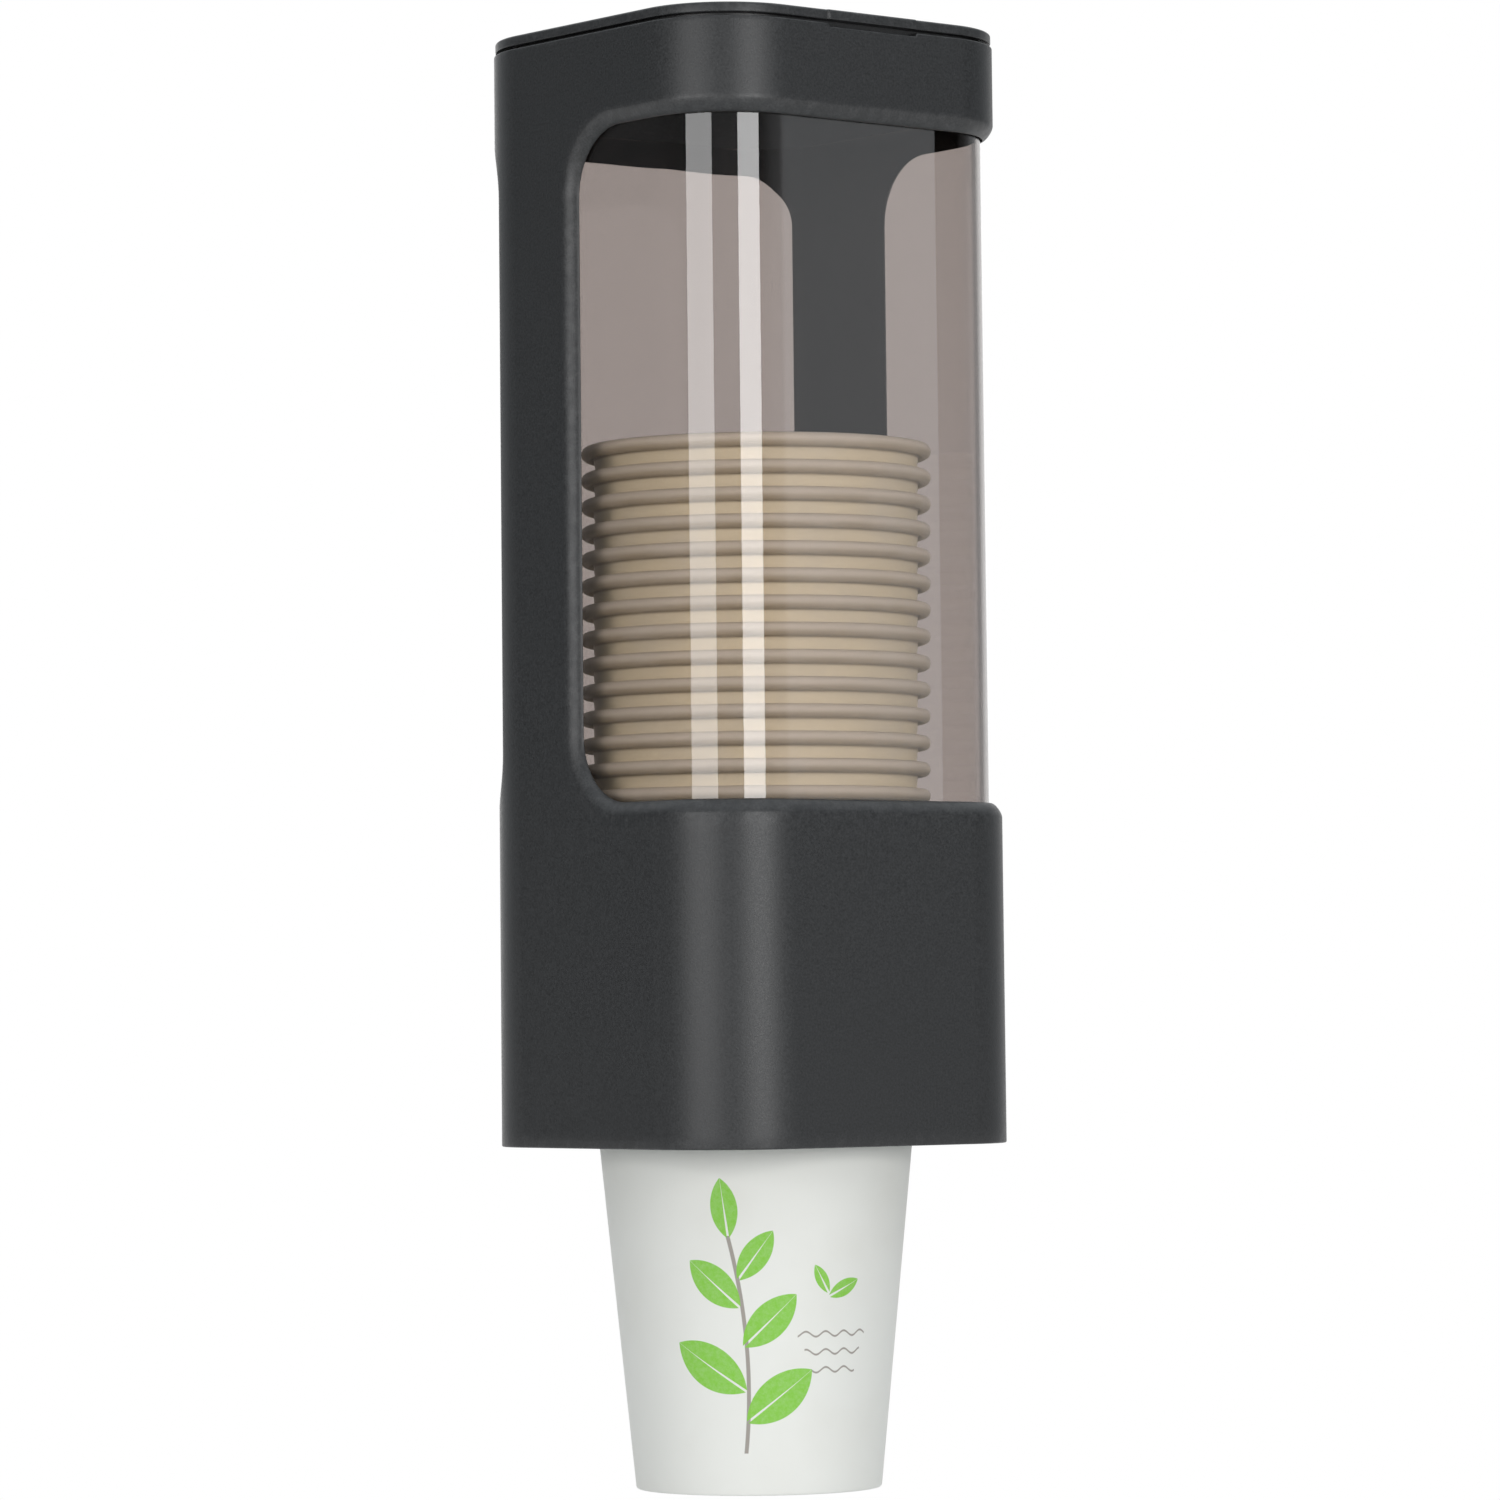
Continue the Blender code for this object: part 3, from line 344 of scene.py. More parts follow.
class Graph:
    """Adds nodes to a tree and links them as they are added."""

    def __init__(self, tree: Tree) -> None:
        """Works on one tree."""
        self.tree = tree

    def put(self, kind: str, inputs: dict | None = None, **settings: object) -> Node:
        """Adds a node.

        Args:
            kind: the node's class name.
            inputs: socket name or number to a value, or to the output that feeds it.
            settings: the node's own properties.

        Returns:
            The node.
        """
        node = self.tree.nodes.new(kind)
        for key, value in settings.items():
            setattr(node, key, value)
        for key, value in (inputs or {}).items():
            self.feed(node.inputs[key], value)
        return node

    def feed(self, socket: Socket, value: Signal) -> None:
        """Links an output to a socket, or sets the socket's value.

        Args:
            socket: what is fed.
            value: an output, a number or a vector; a colour is given without its alpha.
        """
        if isinstance(value, Socket):
            self.tree.links.new(value, socket)
        else:
            socket.default_value = (*value, 1.0) if socket.type == "RGBA" else value

    def wire(self, node: Node, **inputs: Signal) -> None:
        """Feeds a node's sockets, named with _ for each blank."""
        for key, value in inputs.items():
            self.feed(node.inputs[key.replace("_", " ")], value)

    def group(self, tree: Tree, **inputs: Signal) -> Outputs:
        """Places a shared effect and gives its outputs.

        Args:
            tree: the effect.
            inputs: its values, named with _ for each blank.

        Returns:
            The outputs, by name.
        """
        node = self.put("ShaderNodeGroup", node_tree=tree)
        self.wire(node, **inputs)
        return node.outputs

    def math(self, operation: str, *values: Signal) -> Socket:
        """Result of one sum on one to three values."""
        return self.put("ShaderNodeMath", dict(enumerate(values)), operation=operation).outputs[0]

    def product(self, first: Signal, *others: Signal) -> Socket:
        """Product of two or more values.

        Args:
            first: one value.
            others: the rest.

        Returns:
            The product.
        """
        for other in others:
            first = self.math("MULTIPLY", first, other)
        return first

    def from_centre(self, given: Outputs) -> tuple[Socket, Socket]:
        """Point (X, Y) as it is seen from (Centre X, Centre Y)."""
        dx, dy = (self.math("SUBTRACT", given[axis], given[f"Centre {axis}"]) for axis in "XY")
        return dx, dy

    def length(self, first: Signal, second: Signal) -> Socket:
        """Length of a flat vector: sqrt(first^2 + second^2)."""
        squares = self.math("ADD", self.product(first, first), self.product(second, second))
        return self.math("SQRT", squares)

    def ramp(
        self, value: Signal, low: float, high: float, to_low: float = 0.0, to_high: float = 1.0
    ) -> Socket:
        """Value carried from one range to another, smoothly, and held at its ends."""
        inputs = {"Value": value, "From Min": low, "From Max": high, "To Min": to_low, "To Max": to_high}
        return self.put("ShaderNodeMapRange", inputs, interpolation_type="SMOOTHSTEP").outputs["Result"]

    def tint(self, factor: Signal, first: Signal, second: Signal) -> Socket:
        """Two colours mixed by a factor; the Mix node's colours are inputs 6 and 7 and output 2."""
        return self.put("ShaderNodeMix", {0: factor, 6: first, 7: second}, data_type="RGBA").outputs[2]

    def place(self) -> Socket:
        """The point's own place on the piece."""
        return self.put("ShaderNodeTexCoord").outputs["Object"]

    def noise(self, place: Signal, scale: Signal, detail: float) -> Socket:
        """Soft noise from 0 to 1."""
        inputs = {"Vector": place, "Scale": scale, "Detail": detail}
        return self.put("ShaderNodeTexNoise", inputs).outputs["Fac"]

    def bump(self, height: Signal, strength: float, distance: float) -> Socket:
        """Normal that follows a height."""
        inputs = {"Height": height, "Strength": strength, "Distance": distance}
        return self.put("ShaderNodeBump", inputs).outputs[0]

    def blend(self, output: Node, factor: Signal, first: Signal, second: Signal) -> None:
        """Feeds the material's output with two shaders mixed by a factor."""
        mix = self.put("ShaderNodeMixShader", {0: factor, 1: first, 2: second})
        self.wire(output, Surface=mix.outputs[0])

    def in_sight(self, ray: Outputs) -> Socket:
        """Whether the camera sees this point, bare or through clear plastic and not by a bounce.

        Args:
            ray: outputs of a Light Path node.

        Returns:
            1 where it does, else 0.
        """
        bounced = self.math("ADD", ray["Diffuse Depth"], ray["Glossy Depth"])
        straight = self.product(ray["Is Transmission Ray"], self.math("LESS_THAN", bounced, 0.5))
        return self.math("MAXIMUM", ray["Is Camera Ray"], straight)


def effect(
    name: str, inputs: tuple[str, ...], outputs: tuple[str, ...]
) -> tuple[Graph, Outputs, Node]:
    """Starts a shared effect, a node group.

    Args:
        name: the group's name.
        inputs: names of its inputs, which every user feeds.
        outputs: names of its outputs.

    Returns:
        The graph, the values that come in and the node that takes the results.
    """
    tree = bpy.data.node_groups.new(name, "ShaderNodeTree")
    for way, names in (("INPUT", inputs), ("OUTPUT", outputs)):
        for key in names:
            tree.interface.new_socket(key, in_out=way, socket_type="NodeSocketFloat")
    graph = Graph(tree)
    return graph, graph.put("NodeGroupInput").outputs, graph.put("NodeGroupOutput")


@dataclass
class Effects:
    """Effects that more than one finish or one print uses, each a group that is built once."""

    coarse_share: float = 0.65
    coarse_detail: float = 2.0
    fine_scale: float = 2.7
    fine_detail: float = 1.0
    worn_noise: Pair = (0.35, 0.7)
    worn_detail: float = 4.0
    wiped_noise: Pair = (0.42, 0.68)
    wiped_detail: float = 3.0
    wiping_stretch: Triple = (1.0, 1.0, 0.35)
    ink_blur: float = 0.06
    rib_blur: float = 0.05
    rib_run: Pair = (-0.5, 0.45)
    rib_half_width: Pair = (0.24, 0.02)

    def __post_init__(self) -> None:
        """Builds every group."""
        self.grain = self._grain()
        self.wear = self._wear()
        self.smudge = self._smudge()
        self.leaf = self._leaf()
        self.curve = self._curve()

    def _grain(self) -> Tree:
        """Fine texture of a mould or of board: two noises, one of them finer, and a slow drift.

        Returns:
            Group with the height from 0 to 1, the same about 0 as a tone, and the drift about 0.
        """
        graph, given, taken = effect("surface_grain", ("Scale", "Drift Scale"), ("Height", "Tone", "Drift"))
        place = graph.place()
        coarse = graph.noise(place, given["Scale"], self.coarse_detail)
        fine = graph.noise(place, graph.product(given["Scale"], self.fine_scale), self.fine_detail)
        drift = graph.noise(place, given["Drift Scale"], self.coarse_detail)
        height = graph.math(
            "ADD", graph.product(coarse, self.coarse_share), graph.product(fine, 1 - self.coarse_share)
        )
        tone, drift = (graph.math("SUBTRACT", value, 0.5) for value in (height, drift))
        graph.wire(taken, Height=height, Tone=tone, Drift=drift)
        return graph.tree

    def _wear(self) -> Tree:
        """Rubbed edges: the piece's own worn mark, broken up by noise.

        Returns:
            Group with a mask from 0 to the amount.
        """
        graph, given, taken = effect("rubbed_edges", ("Amount", "Scale"), ("Mask",))
        worn = graph.put("ShaderNodeAttribute", attribute_name="worn").outputs["Fac"]
        noise = graph.noise(graph.place(), given["Scale"], self.worn_detail)
        graph.wire(taken, Mask=graph.product(worn, graph.ramp(noise, *self.worn_noise), given["Amount"]))
        return graph.tree

    def _smudge(self) -> Tree:
        """Faint wiping marks: noise stretched along the height.

        Returns:
            Group with a mask from 0 to 1.
        """
        graph, given, taken = effect("wiping_marks", ("Scale",), ("Mask",))
        mapping = {"Vector": graph.place(), "Scale": self.wiping_stretch}
        drawn = graph.put("ShaderNodeMapping", mapping).outputs[0]
        noise = graph.noise(drawn, given["Scale"], self.wiped_detail)
        graph.wire(taken, Mask=graph.ramp(noise, *self.wiped_noise))
        return graph.tree

    def _leaf(self) -> Tree:
        """Pointed leaf with a bare midrib, where two equal circles overlap.

        With p along the leaf and q across it, a point is inside where
        sqrt(p^2 + (|q| + R - width/2)^2) < R and R = (length^2 + width^2) / (4 width).

        Returns:
            Group with a mask from 0 to 1.
        """
        names = ("X", "Y", "Centre X", "Centre Y", "Angle", "Length", "Width")
        graph, given, taken = effect("printed_leaf", names, ("Mask",))
        dx, dy = graph.from_centre(given)
        cosine, sine = graph.math("COSINE", given["Angle"]), graph.math("SINE", given["Angle"])
        length, width = given["Length"], given["Width"]
        along = graph.math("ADD", graph.product(dx, cosine), graph.product(dy, sine))
        across = graph.math("SUBTRACT", graph.product(dy, cosine), graph.product(dx, sine))
        across = graph.math("ABSOLUTE", across)
        squares = graph.math("ADD", graph.product(length, length), graph.product(width, width))
        radius = graph.math("DIVIDE", squares, graph.product(width, 4.0))
        offset = graph.math("SUBTRACT", radius, graph.product(width, 0.5))
        distance = graph.length(along, graph.math("ADD", across, offset))
        inside = graph.ramp(graph.math("SUBTRACT", radius, distance), -self.ink_blur, self.ink_blur)
        rib_half = graph.ramp(graph.math("DIVIDE", along, length), *self.rib_run, *self.rib_half_width)
        off_rib = graph.ramp(graph.math("SUBTRACT", across, rib_half), -self.rib_blur, self.rib_blur)
        graph.wire(taken, Mask=graph.product(inside, off_rib))
        return graph.tree

    def _curve(self) -> Tree:
        """Printed line along a circle's arc, between two heights.

        Returns:
            Group with a mask from 0 to 1.
        """
        names = ("X", "Y", "Centre X", "Centre Y", "Radius", "Width", "Low", "High")
        graph, given, taken = effect("printed_curve", names, ("Mask",))
        distance = graph.length(*graph.from_centre(given))
        away = graph.math("ABSOLUTE", graph.math("SUBTRACT", distance, given["Radius"]))
        within = graph.math("SUBTRACT", graph.product(given["Width"], 0.5), away)
        line = graph.ramp(within, -self.ink_blur, self.ink_blur)
        above = graph.math("GREATER_THAN", given["Y"], given["Low"])
        below = graph.math("LESS_THAN", given["Y"], given["High"])
        graph.wire(taken, Mask=graph.product(line, graph.product(above, below)))
        return graph.tree


# Finishes


def blank(name: str) -> tuple[Material, Graph, Node, Node]:
    """Starts a material.

    Args:
        name: the material's name.

    Returns:
        The material, its graph, its Principled shader and its output node.
    """
    material = bpy.data.materials.new(name)
    material.use_nodes = True
    nodes = material.node_tree.nodes
    return material, Graph(material.node_tree), nodes["Principled BSDF"], nodes["Material Output"]


@dataclass(frozen=True)
class Moulding:
    """Plastic from a textured mould, darker or lighter in slow patches and polished at its edges."""

    name: str
    colour: Triple
    rubbed_colour: Triple
    roughness: float
    grain_scale: float
    grain_depth: float
    grain_tone: float
    wear: float
    grain_gloss: float = 0.4
    drift_scale: float = 28.0
    drift_tone: float = 0.14
    wear_scale: float = 500.0
    polish: float = 0.12
    strength: float = 0.8

    def build(self, effects: Effects) -> Material:
        """Makes the material.

        Args:
            effects: the shared groups.

        Returns:
            The material.
        """
        material, graph, shader, _ = blank(self.name)
        grain = graph.group(effects.grain, Scale=self.grain_scale, Drift_Scale=self.drift_scale)
        wear = graph.group(effects.wear, Amount=self.wear, Scale=self.wear_scale)["Mask"]
        tone = graph.math("MULTIPLY_ADD", grain["Tone"], self.grain_tone, 1.0)
        tone = graph.math("ADD", tone, graph.product(grain["Drift"], self.drift_tone))
        scaling = {0: graph.tint(wear, self.colour, self.rubbed_colour), "Scale": tone}
        colour = graph.put("ShaderNodeVectorMath", scaling, operation="SCALE").outputs[0]
        rough = graph.math("MULTIPLY_ADD", grain["Tone"], self.grain_gloss, self.roughness)
        rough = graph.math("MULTIPLY_ADD", wear, -self.polish, rough)
        normal = graph.bump(grain["Height"], self.strength, self.grain_depth)
        graph.wire(shader, Base_Color=colour, Roughness=rough, Normal=normal)
        return material


@dataclass(frozen=True)
class SmokedSheet:
    """Clear tinted plastic that lets the lamps through to the cups.

    Along its outline, where the light runs lengthwise through the wall, the tint is deeper.
    """

    name: str = "smoked_clear_polished"
    colour: Triple = (0.603, 0.557, 0.537)
    edge_colour: Triple = (0.20, 0.188, 0.182)
    edge_turn: Pair = (0.62, 0.72)
    passed: Triple = (0.955, 0.935, 0.920)
    roughness: float = 0.008
    marks_scale: float = 45.0
    marks_roughness: float = 0.012
    ior: float = 1.57

    def build(self, effects: Effects) -> Material:
        """Makes the material: glass for sight, a plain tint for the lamps' rays.

        Args:
            effects: the shared groups.

        Returns:
            The material.
        """
        material, graph, shader, output = blank(self.name)
        facing = graph.put("ShaderNodeLayerWeight", {"Blend": 0.5}).outputs["Facing"]
        colour = graph.tint(graph.ramp(facing, *self.edge_turn), self.colour, self.edge_colour)
        marks = graph.group(effects.smudge, Scale=self.marks_scale)["Mask"]
        rough = graph.math("MULTIPLY_ADD", marks, self.marks_roughness, self.roughness)
        graph.wire(shader, Base_Color=colour, Roughness=rough, IOR=self.ior, Transmission_Weight=1.0)
        through = graph.put("ShaderNodeBsdfTransparent", {"Color": self.passed}).outputs[0]
        lamp_ray = graph.put("ShaderNodeLightPath").outputs["Is Shadow Ray"]
        graph.blend(output, lamp_ray, shader.outputs[0], through)
        return material


@dataclass(frozen=True)
class Elastomer:
    """Soft milky rubber of the stop tongues, dusty in patches."""

    name: str = "tongue_elastomer"
    colour: Triple = (0.60, 0.60, 0.57)
    dusty: Triple = (0.44, 0.43, 0.40)
    dust_turn: Pair = (-0.05, 0.2)
    roughness: float = 0.5
    dust_roughness: float = 0.2
    grain_scale: float = 1400.0
    drift_scale: float = 220.0
    softness: float = 0.3
    glow_depth: float = 0.001
    strength: float = 0.3
    depth: float = 0.00002

    def build(self, effects: Effects) -> Material:
        """Makes the material.

        Args:
            effects: the shared groups.

        Returns:
            The material.
        """
        material, graph, shader, _ = blank(self.name)
        grain = graph.group(effects.grain, Scale=self.grain_scale, Drift_Scale=self.drift_scale)
        dust = graph.ramp(grain["Drift"], *self.dust_turn)
        graph.wire(
            shader,
            Base_Color=graph.tint(dust, self.colour, self.dusty),
            Roughness=graph.math("MULTIPLY_ADD", dust, self.dust_roughness, self.roughness),
            Subsurface_Weight=self.softness,
            Subsurface_Scale=self.glow_depth,
            Normal=graph.bump(grain["Height"], self.strength, self.depth),
        )
        return material


@dataclass(frozen=True)
class PlatedSteel:
    """Bright zinc plating, a little yellow and patchy, duller where it is rubbed."""

    name: str = "screw_steel_plated"
    colour: Triple = (0.62, 0.62, 0.58)
    patch: Triple = (0.50, 0.49, 0.42)
    patch_turn: Pair = (-0.1, 0.15)
    roughness: float = 0.28
    grain_roughness: float = 0.3
    wear_roughness: float = 0.15
    grain_scale: float = 3200.0
    drift_scale: float = 600.0
    wear: float = 0.6
    wear_scale: float = 1200.0
    strength: float = 0.25
    depth: float = 0.00001

    def build(self, effects: Effects) -> Material:
        """Makes the material.

        Args:
            effects: the shared groups.

        Returns:
            The material.
        """
        material, graph, shader, _ = blank(self.name)
        grain = graph.group(effects.grain, Scale=self.grain_scale, Drift_Scale=self.drift_scale)
        wear = graph.group(effects.wear, Amount=self.wear, Scale=self.wear_scale)["Mask"]
        rough = graph.math("MULTIPLY_ADD", grain["Tone"], self.grain_roughness, self.roughness)
        graph.wire(
            shader,
            Metallic=1.0,
            Base_Color=graph.tint(graph.ramp(grain["Drift"], *self.patch_turn), self.colour, self.patch),
            Roughness=graph.math("MULTIPLY_ADD", wear, self.wear_roughness, rough),
            Normal=graph.bump(grain["Height"], self.strength, self.depth),
        )
        return material


@dataclass(frozen=True)
class CellFoam:
    """Closed-cell foam tape: small cells with painted shade in their pits, in slow patches."""

    name: str = "pad_foam_cells"
    colour: Triple = (0.78, 0.78, 0.75)
    # painted shade in the cells' pits
    pit_shade_colour: Triple = (0.52, 0.52, 0.49)
    cell_scale: float = 2600.0
    pit_shade_turn: Pair = (0.55, 0.1)
    pit_shade_share: float = 0.7
    grain_scale: float = 900.0
    drift_scale: float = 70.0
    drift_share: float = 0.8
    roughness: float = 0.92
    strength: float = 0.6
    depth: float = 0.00012

    def build(self, effects: Effects) -> Material:
        """Makes the material.

        Args:
            effects: the shared groups.

        Returns:
            The material.
        """
        material, graph, shader, _ = blank(self.name)
        inputs = {"Vector": graph.place(), "Scale": self.cell_scale}
        cells = graph.put("ShaderNodeTexVoronoi", inputs).outputs["Distance"]
        drift = graph.group(effects.grain, Scale=self.grain_scale, Drift_Scale=self.drift_scale)["Drift"]
        # painted shade where the cells' bump is lowest, in their pits
        pit_shade = graph.product(graph.ramp(cells, *self.pit_shade_turn), self.pit_shade_share)
        shade = graph.math("MULTIPLY_ADD", drift, self.drift_share, pit_shade)
        graph.wire(
            shader,
            Base_Color=graph.tint(shade, self.colour, self.pit_shade_colour),
            Roughness=self.roughness,
            Normal=graph.bump(cells, self.strength, self.depth),
        )
        return material


@dataclass(frozen=True)
class CupBoard:
    """White cup board printed with green leaves outside, with painted warm light and painted shade near the
    rim.

    The print is laid out in millimetres on the unrolled wall: x from the printed middle, y from
    the foot. A leaf is its middle (x, y), its angle in degrees, its length and its width. The
    stem is a circle's centre, its radius, its width and the heights it runs between. A wave is
    its height and the places where it starts and ends.
    """

    name: str = "cup_board_printed"
    white: Triple = (0.770, 0.768, 0.727)
    # painted warm light: the tint of light that comes through the smoked tube and bounces between the
    # nested cups, on the upper wall
    warm_bounce_light: Triple = (0.86, 0.793, 0.600)
    # painted shade on the bead, which is the same board as the wall
    bead: Triple = (0.68, 0.63, 0.53)
    # painted shadow on the underside of the bead
    bead_under_shadow: Triple = (0.47, 0.41, 0.30)
    shaded: Triple = (0.70, 0.69, 0.64)
    green: Triple = (0.215, 0.540, 0.045)
    grey: Triple = (0.19, 0.15, 0.12)
    warm_bounce_turn: Pair = (0.88, 0.93)
    under_shadow_turn: Pair = (0.960, 0.967)
    bead_shade_turn: Pair = (0.972, 0.988)
    shade: Pair = (1.2, 0.05)
    roughness: float = 0.55
    grain_roughness: float = 0.25
    grain_scale: float = 1100.0
    drift_scale: float = 60.0
    strength: float = 0.35
    depth: float = 0.00003
    foot_girth: float = 165.9
    rim_girth: float = 219.9
    wall_height: float = 86.6
    leaves: tuple[tuple[float, float, float, float, float], ...] = (
        (4.6, 21.0, 38.0, 18.0, 8.6),
        (-10.0, 27.2, 146.0, 18.5, 8.8),
        (2.6, 37.0, 44.0, 16.0, 7.4),
        (-9.2, 44.8, 138.0, 15.0, 7.0),
        (-0.4, 50.8, 54.0, 13.0, 5.8),
        (-7.0, 60.8, 98.0, 13.0, 5.8),
        (19.6, 43.6, 24.0, 8.6, 3.4),
        (14.2, 45.6, 118.0, 7.0, 2.9),
    )
    stem: tuple[float, float, float, float, float, float] = (-131.6, 22.0, 129.6, 0.85, 9.0, 55.0)
    waves: tuple[Triple, ...] = ((34.0, 8.5, 25.5), (30.2, 10.0, 24.0), (26.4, 11.5, 22.5))
    printed_from: float = 0.9
    wave_swing: float = 0.55
    wave_pitch: float = 4.6
    wave_width: float = 0.42
    wave_blur: float = 0.08
    green_cover: Pair = (0.35, 0.95)
    grey_cover: float = 0.75

    def build(self, effects: Effects) -> Material:
        """Makes the material.

        Args:
            effects: the shared groups.

        Returns:
            The material.
        """
        material, graph, shader, _ = blank(self.name)
        chart = graph.put("ShaderNodeUVMap", uv_map="wall_chart").outputs[0]
        flat = graph.put("ShaderNodeSeparateXYZ", {0: chart}).outputs
        outside = graph.put("ShaderNodeAttribute", attribute_name="outside").outputs["Fac"]
        side = graph.math("GREATER_THAN", outside, self.printed_from)
        y = graph.product(flat["Y"], self.wall_height)
        girth = graph.math("MULTIPLY_ADD", flat["Y"], self.rim_girth - self.foot_girth, self.foot_girth)
        x = graph.product(graph.math("SUBTRACT", flat["X"], 0.5), girth)
        grain = graph.group(effects.grain, Scale=self.grain_scale, Drift_Scale=self.drift_scale)

        # painted light near the rim: a warm tint on the upper wall, painted shade on the bead, a painted
        # shadow under it
        turns = (self.warm_bounce_turn, self.under_shadow_turn, self.bead_shade_turn)
        colour = self.white
        for turn, band in zip(turns, (self.warm_bounce_light, self.bead_under_shadow, self.bead)):
            colour = graph.tint(graph.ramp(flat["Y"], *turn), colour, band)
        colour = graph.tint(graph.math("MULTIPLY_ADD", grain["Drift"], *self.shade), colour, self.shaded)
        grey = graph.product(self._lines(graph, effects, x, y), self.grey_cover, side)
        colour = graph.tint(grey, colour, self.grey)
        cover = graph.math("MULTIPLY_ADD", grain["Tone"], *self.green_cover)
        green = graph.product(self._leaves(graph, effects, x, y), cover, side)
        graph.wire(
            shader,
            Base_Color=graph.tint(green, colour, self.green),
            Roughness=graph.math("MULTIPLY_ADD", grain["Tone"], self.grain_roughness, self.roughness),
            Normal=graph.bump(grain["Height"], self.strength, self.depth),
        )
        return material

    def _leaves(self, graph: Graph, effects: Effects, x: Signal, y: Signal) -> Socket:
        """Where the leaves lie: the largest of their masks.

        Args:
            graph: of the material.
            effects: the shared groups.
            x: place round the wall.
            y: height up the wall.

        Returns:
            Mask from 0 to 1.
        """
        total = 0.0
        for centre_x, centre_y, degrees, length, width in self.leaves:
            mask = graph.group(
                effects.leaf, X=x, Y=y, Centre_X=centre_x, Centre_Y=centre_y,
                Angle=math.radians(degrees), Length=length, Width=width,
            )["Mask"]
            total = graph.math("MAXIMUM", total, mask)
        return total

    def _lines(self, graph: Graph, effects: Effects, x: Signal, y: Signal) -> Socket:
        """Where the stem and the waves lie; a wave's line is y = height + swing sin(x).

        Args:
            graph: of the material.
            effects: the shared groups.
            x: place round the wall.
            y: height up the wall.

        Returns:
            Mask from 0 to 1.
        """
        centre_x, centre_y, radius, width, low, high = self.stem
        total = graph.group(
            effects.curve, X=x, Y=y, Centre_X=centre_x, Centre_Y=centre_y,
            Radius=radius, Width=width, Low=low, High=high,
        )["Mask"]
        swing = graph.math("SINE", graph.product(x, FULL_TURN / self.wave_pitch))
        for height, start, end in self.waves:
            line = graph.math("MULTIPLY_ADD", swing, self.wave_swing, height)
            away = graph.math("ABSOLUTE", graph.math("SUBTRACT", y, line))
            within = graph.math("SUBTRACT", self.wave_width / 2, away)
            wave = graph.ramp(within, -self.wave_blur, self.wave_blur)
            started, ended = graph.math("GREATER_THAN", x, start), graph.math("LESS_THAN", x, end)
            total = graph.math("MAXIMUM", total, graph.product(wave, started, ended))
        return total


def make_finishes() -> dict[str, Material]:
    """Builds the shared effects and every material.

    Returns:
        The record's material slots, each with its material.
    """
    finishes = {
        "body_plastic": Moulding(
            name="body_plastic_matte", colour=(0.0215, 0.0222, 0.0232), rubbed_colour=(0.055, 0.055, 0.056),
            roughness=0.44, grain_scale=2100.0, grain_depth=0.00005, grain_tone=2.4, wear=0.35,
        ),
        "mechanism_plastic": Moulding(
            name="dial_plastic_satin", colour=(0.42, 0.43, 0.43), rubbed_colour=(0.55, 0.55, 0.54),
            roughness=0.38, grain_scale=2600.0, grain_depth=0.00002, grain_tone=0.12, wear=0.5,
        ),
        "smoked_clear": SmokedSheet(),
        "tongue_rubber": Elastomer(),
        "screw_steel": PlatedSteel(),
        "pad_foam": CellFoam(),
        "cup_paper": CupBoard(),
    }
    effects = Effects()
    return {slot: finish.build(effects) for slot, finish in finishes.items()}


# Pieces


@dataclass
class Assembly:
    """A sub-assembly: its own sizes are fields, and it dresses the pieces that it makes."""

    finishes: dict[str, Material]

    def settle(self, piece: Piece, body: str, slot: str, *nodes: str) -> None:
        """Gives a piece its finish, its body and the solids that it stands for.

        Args:
            piece: the new piece.
            body: what it rides on.
            slot: the record's material slot, which also tells the finish.
            nodes: the solids that it replaces.
        """
        piece.data.materials.clear()
        piece.data.materials.append(self.finishes[slot])
        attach(piece, body)
        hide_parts(*nodes)
        LOG.info("%s on %s: %d faces", piece.name, body, len(piece.data.polygons))


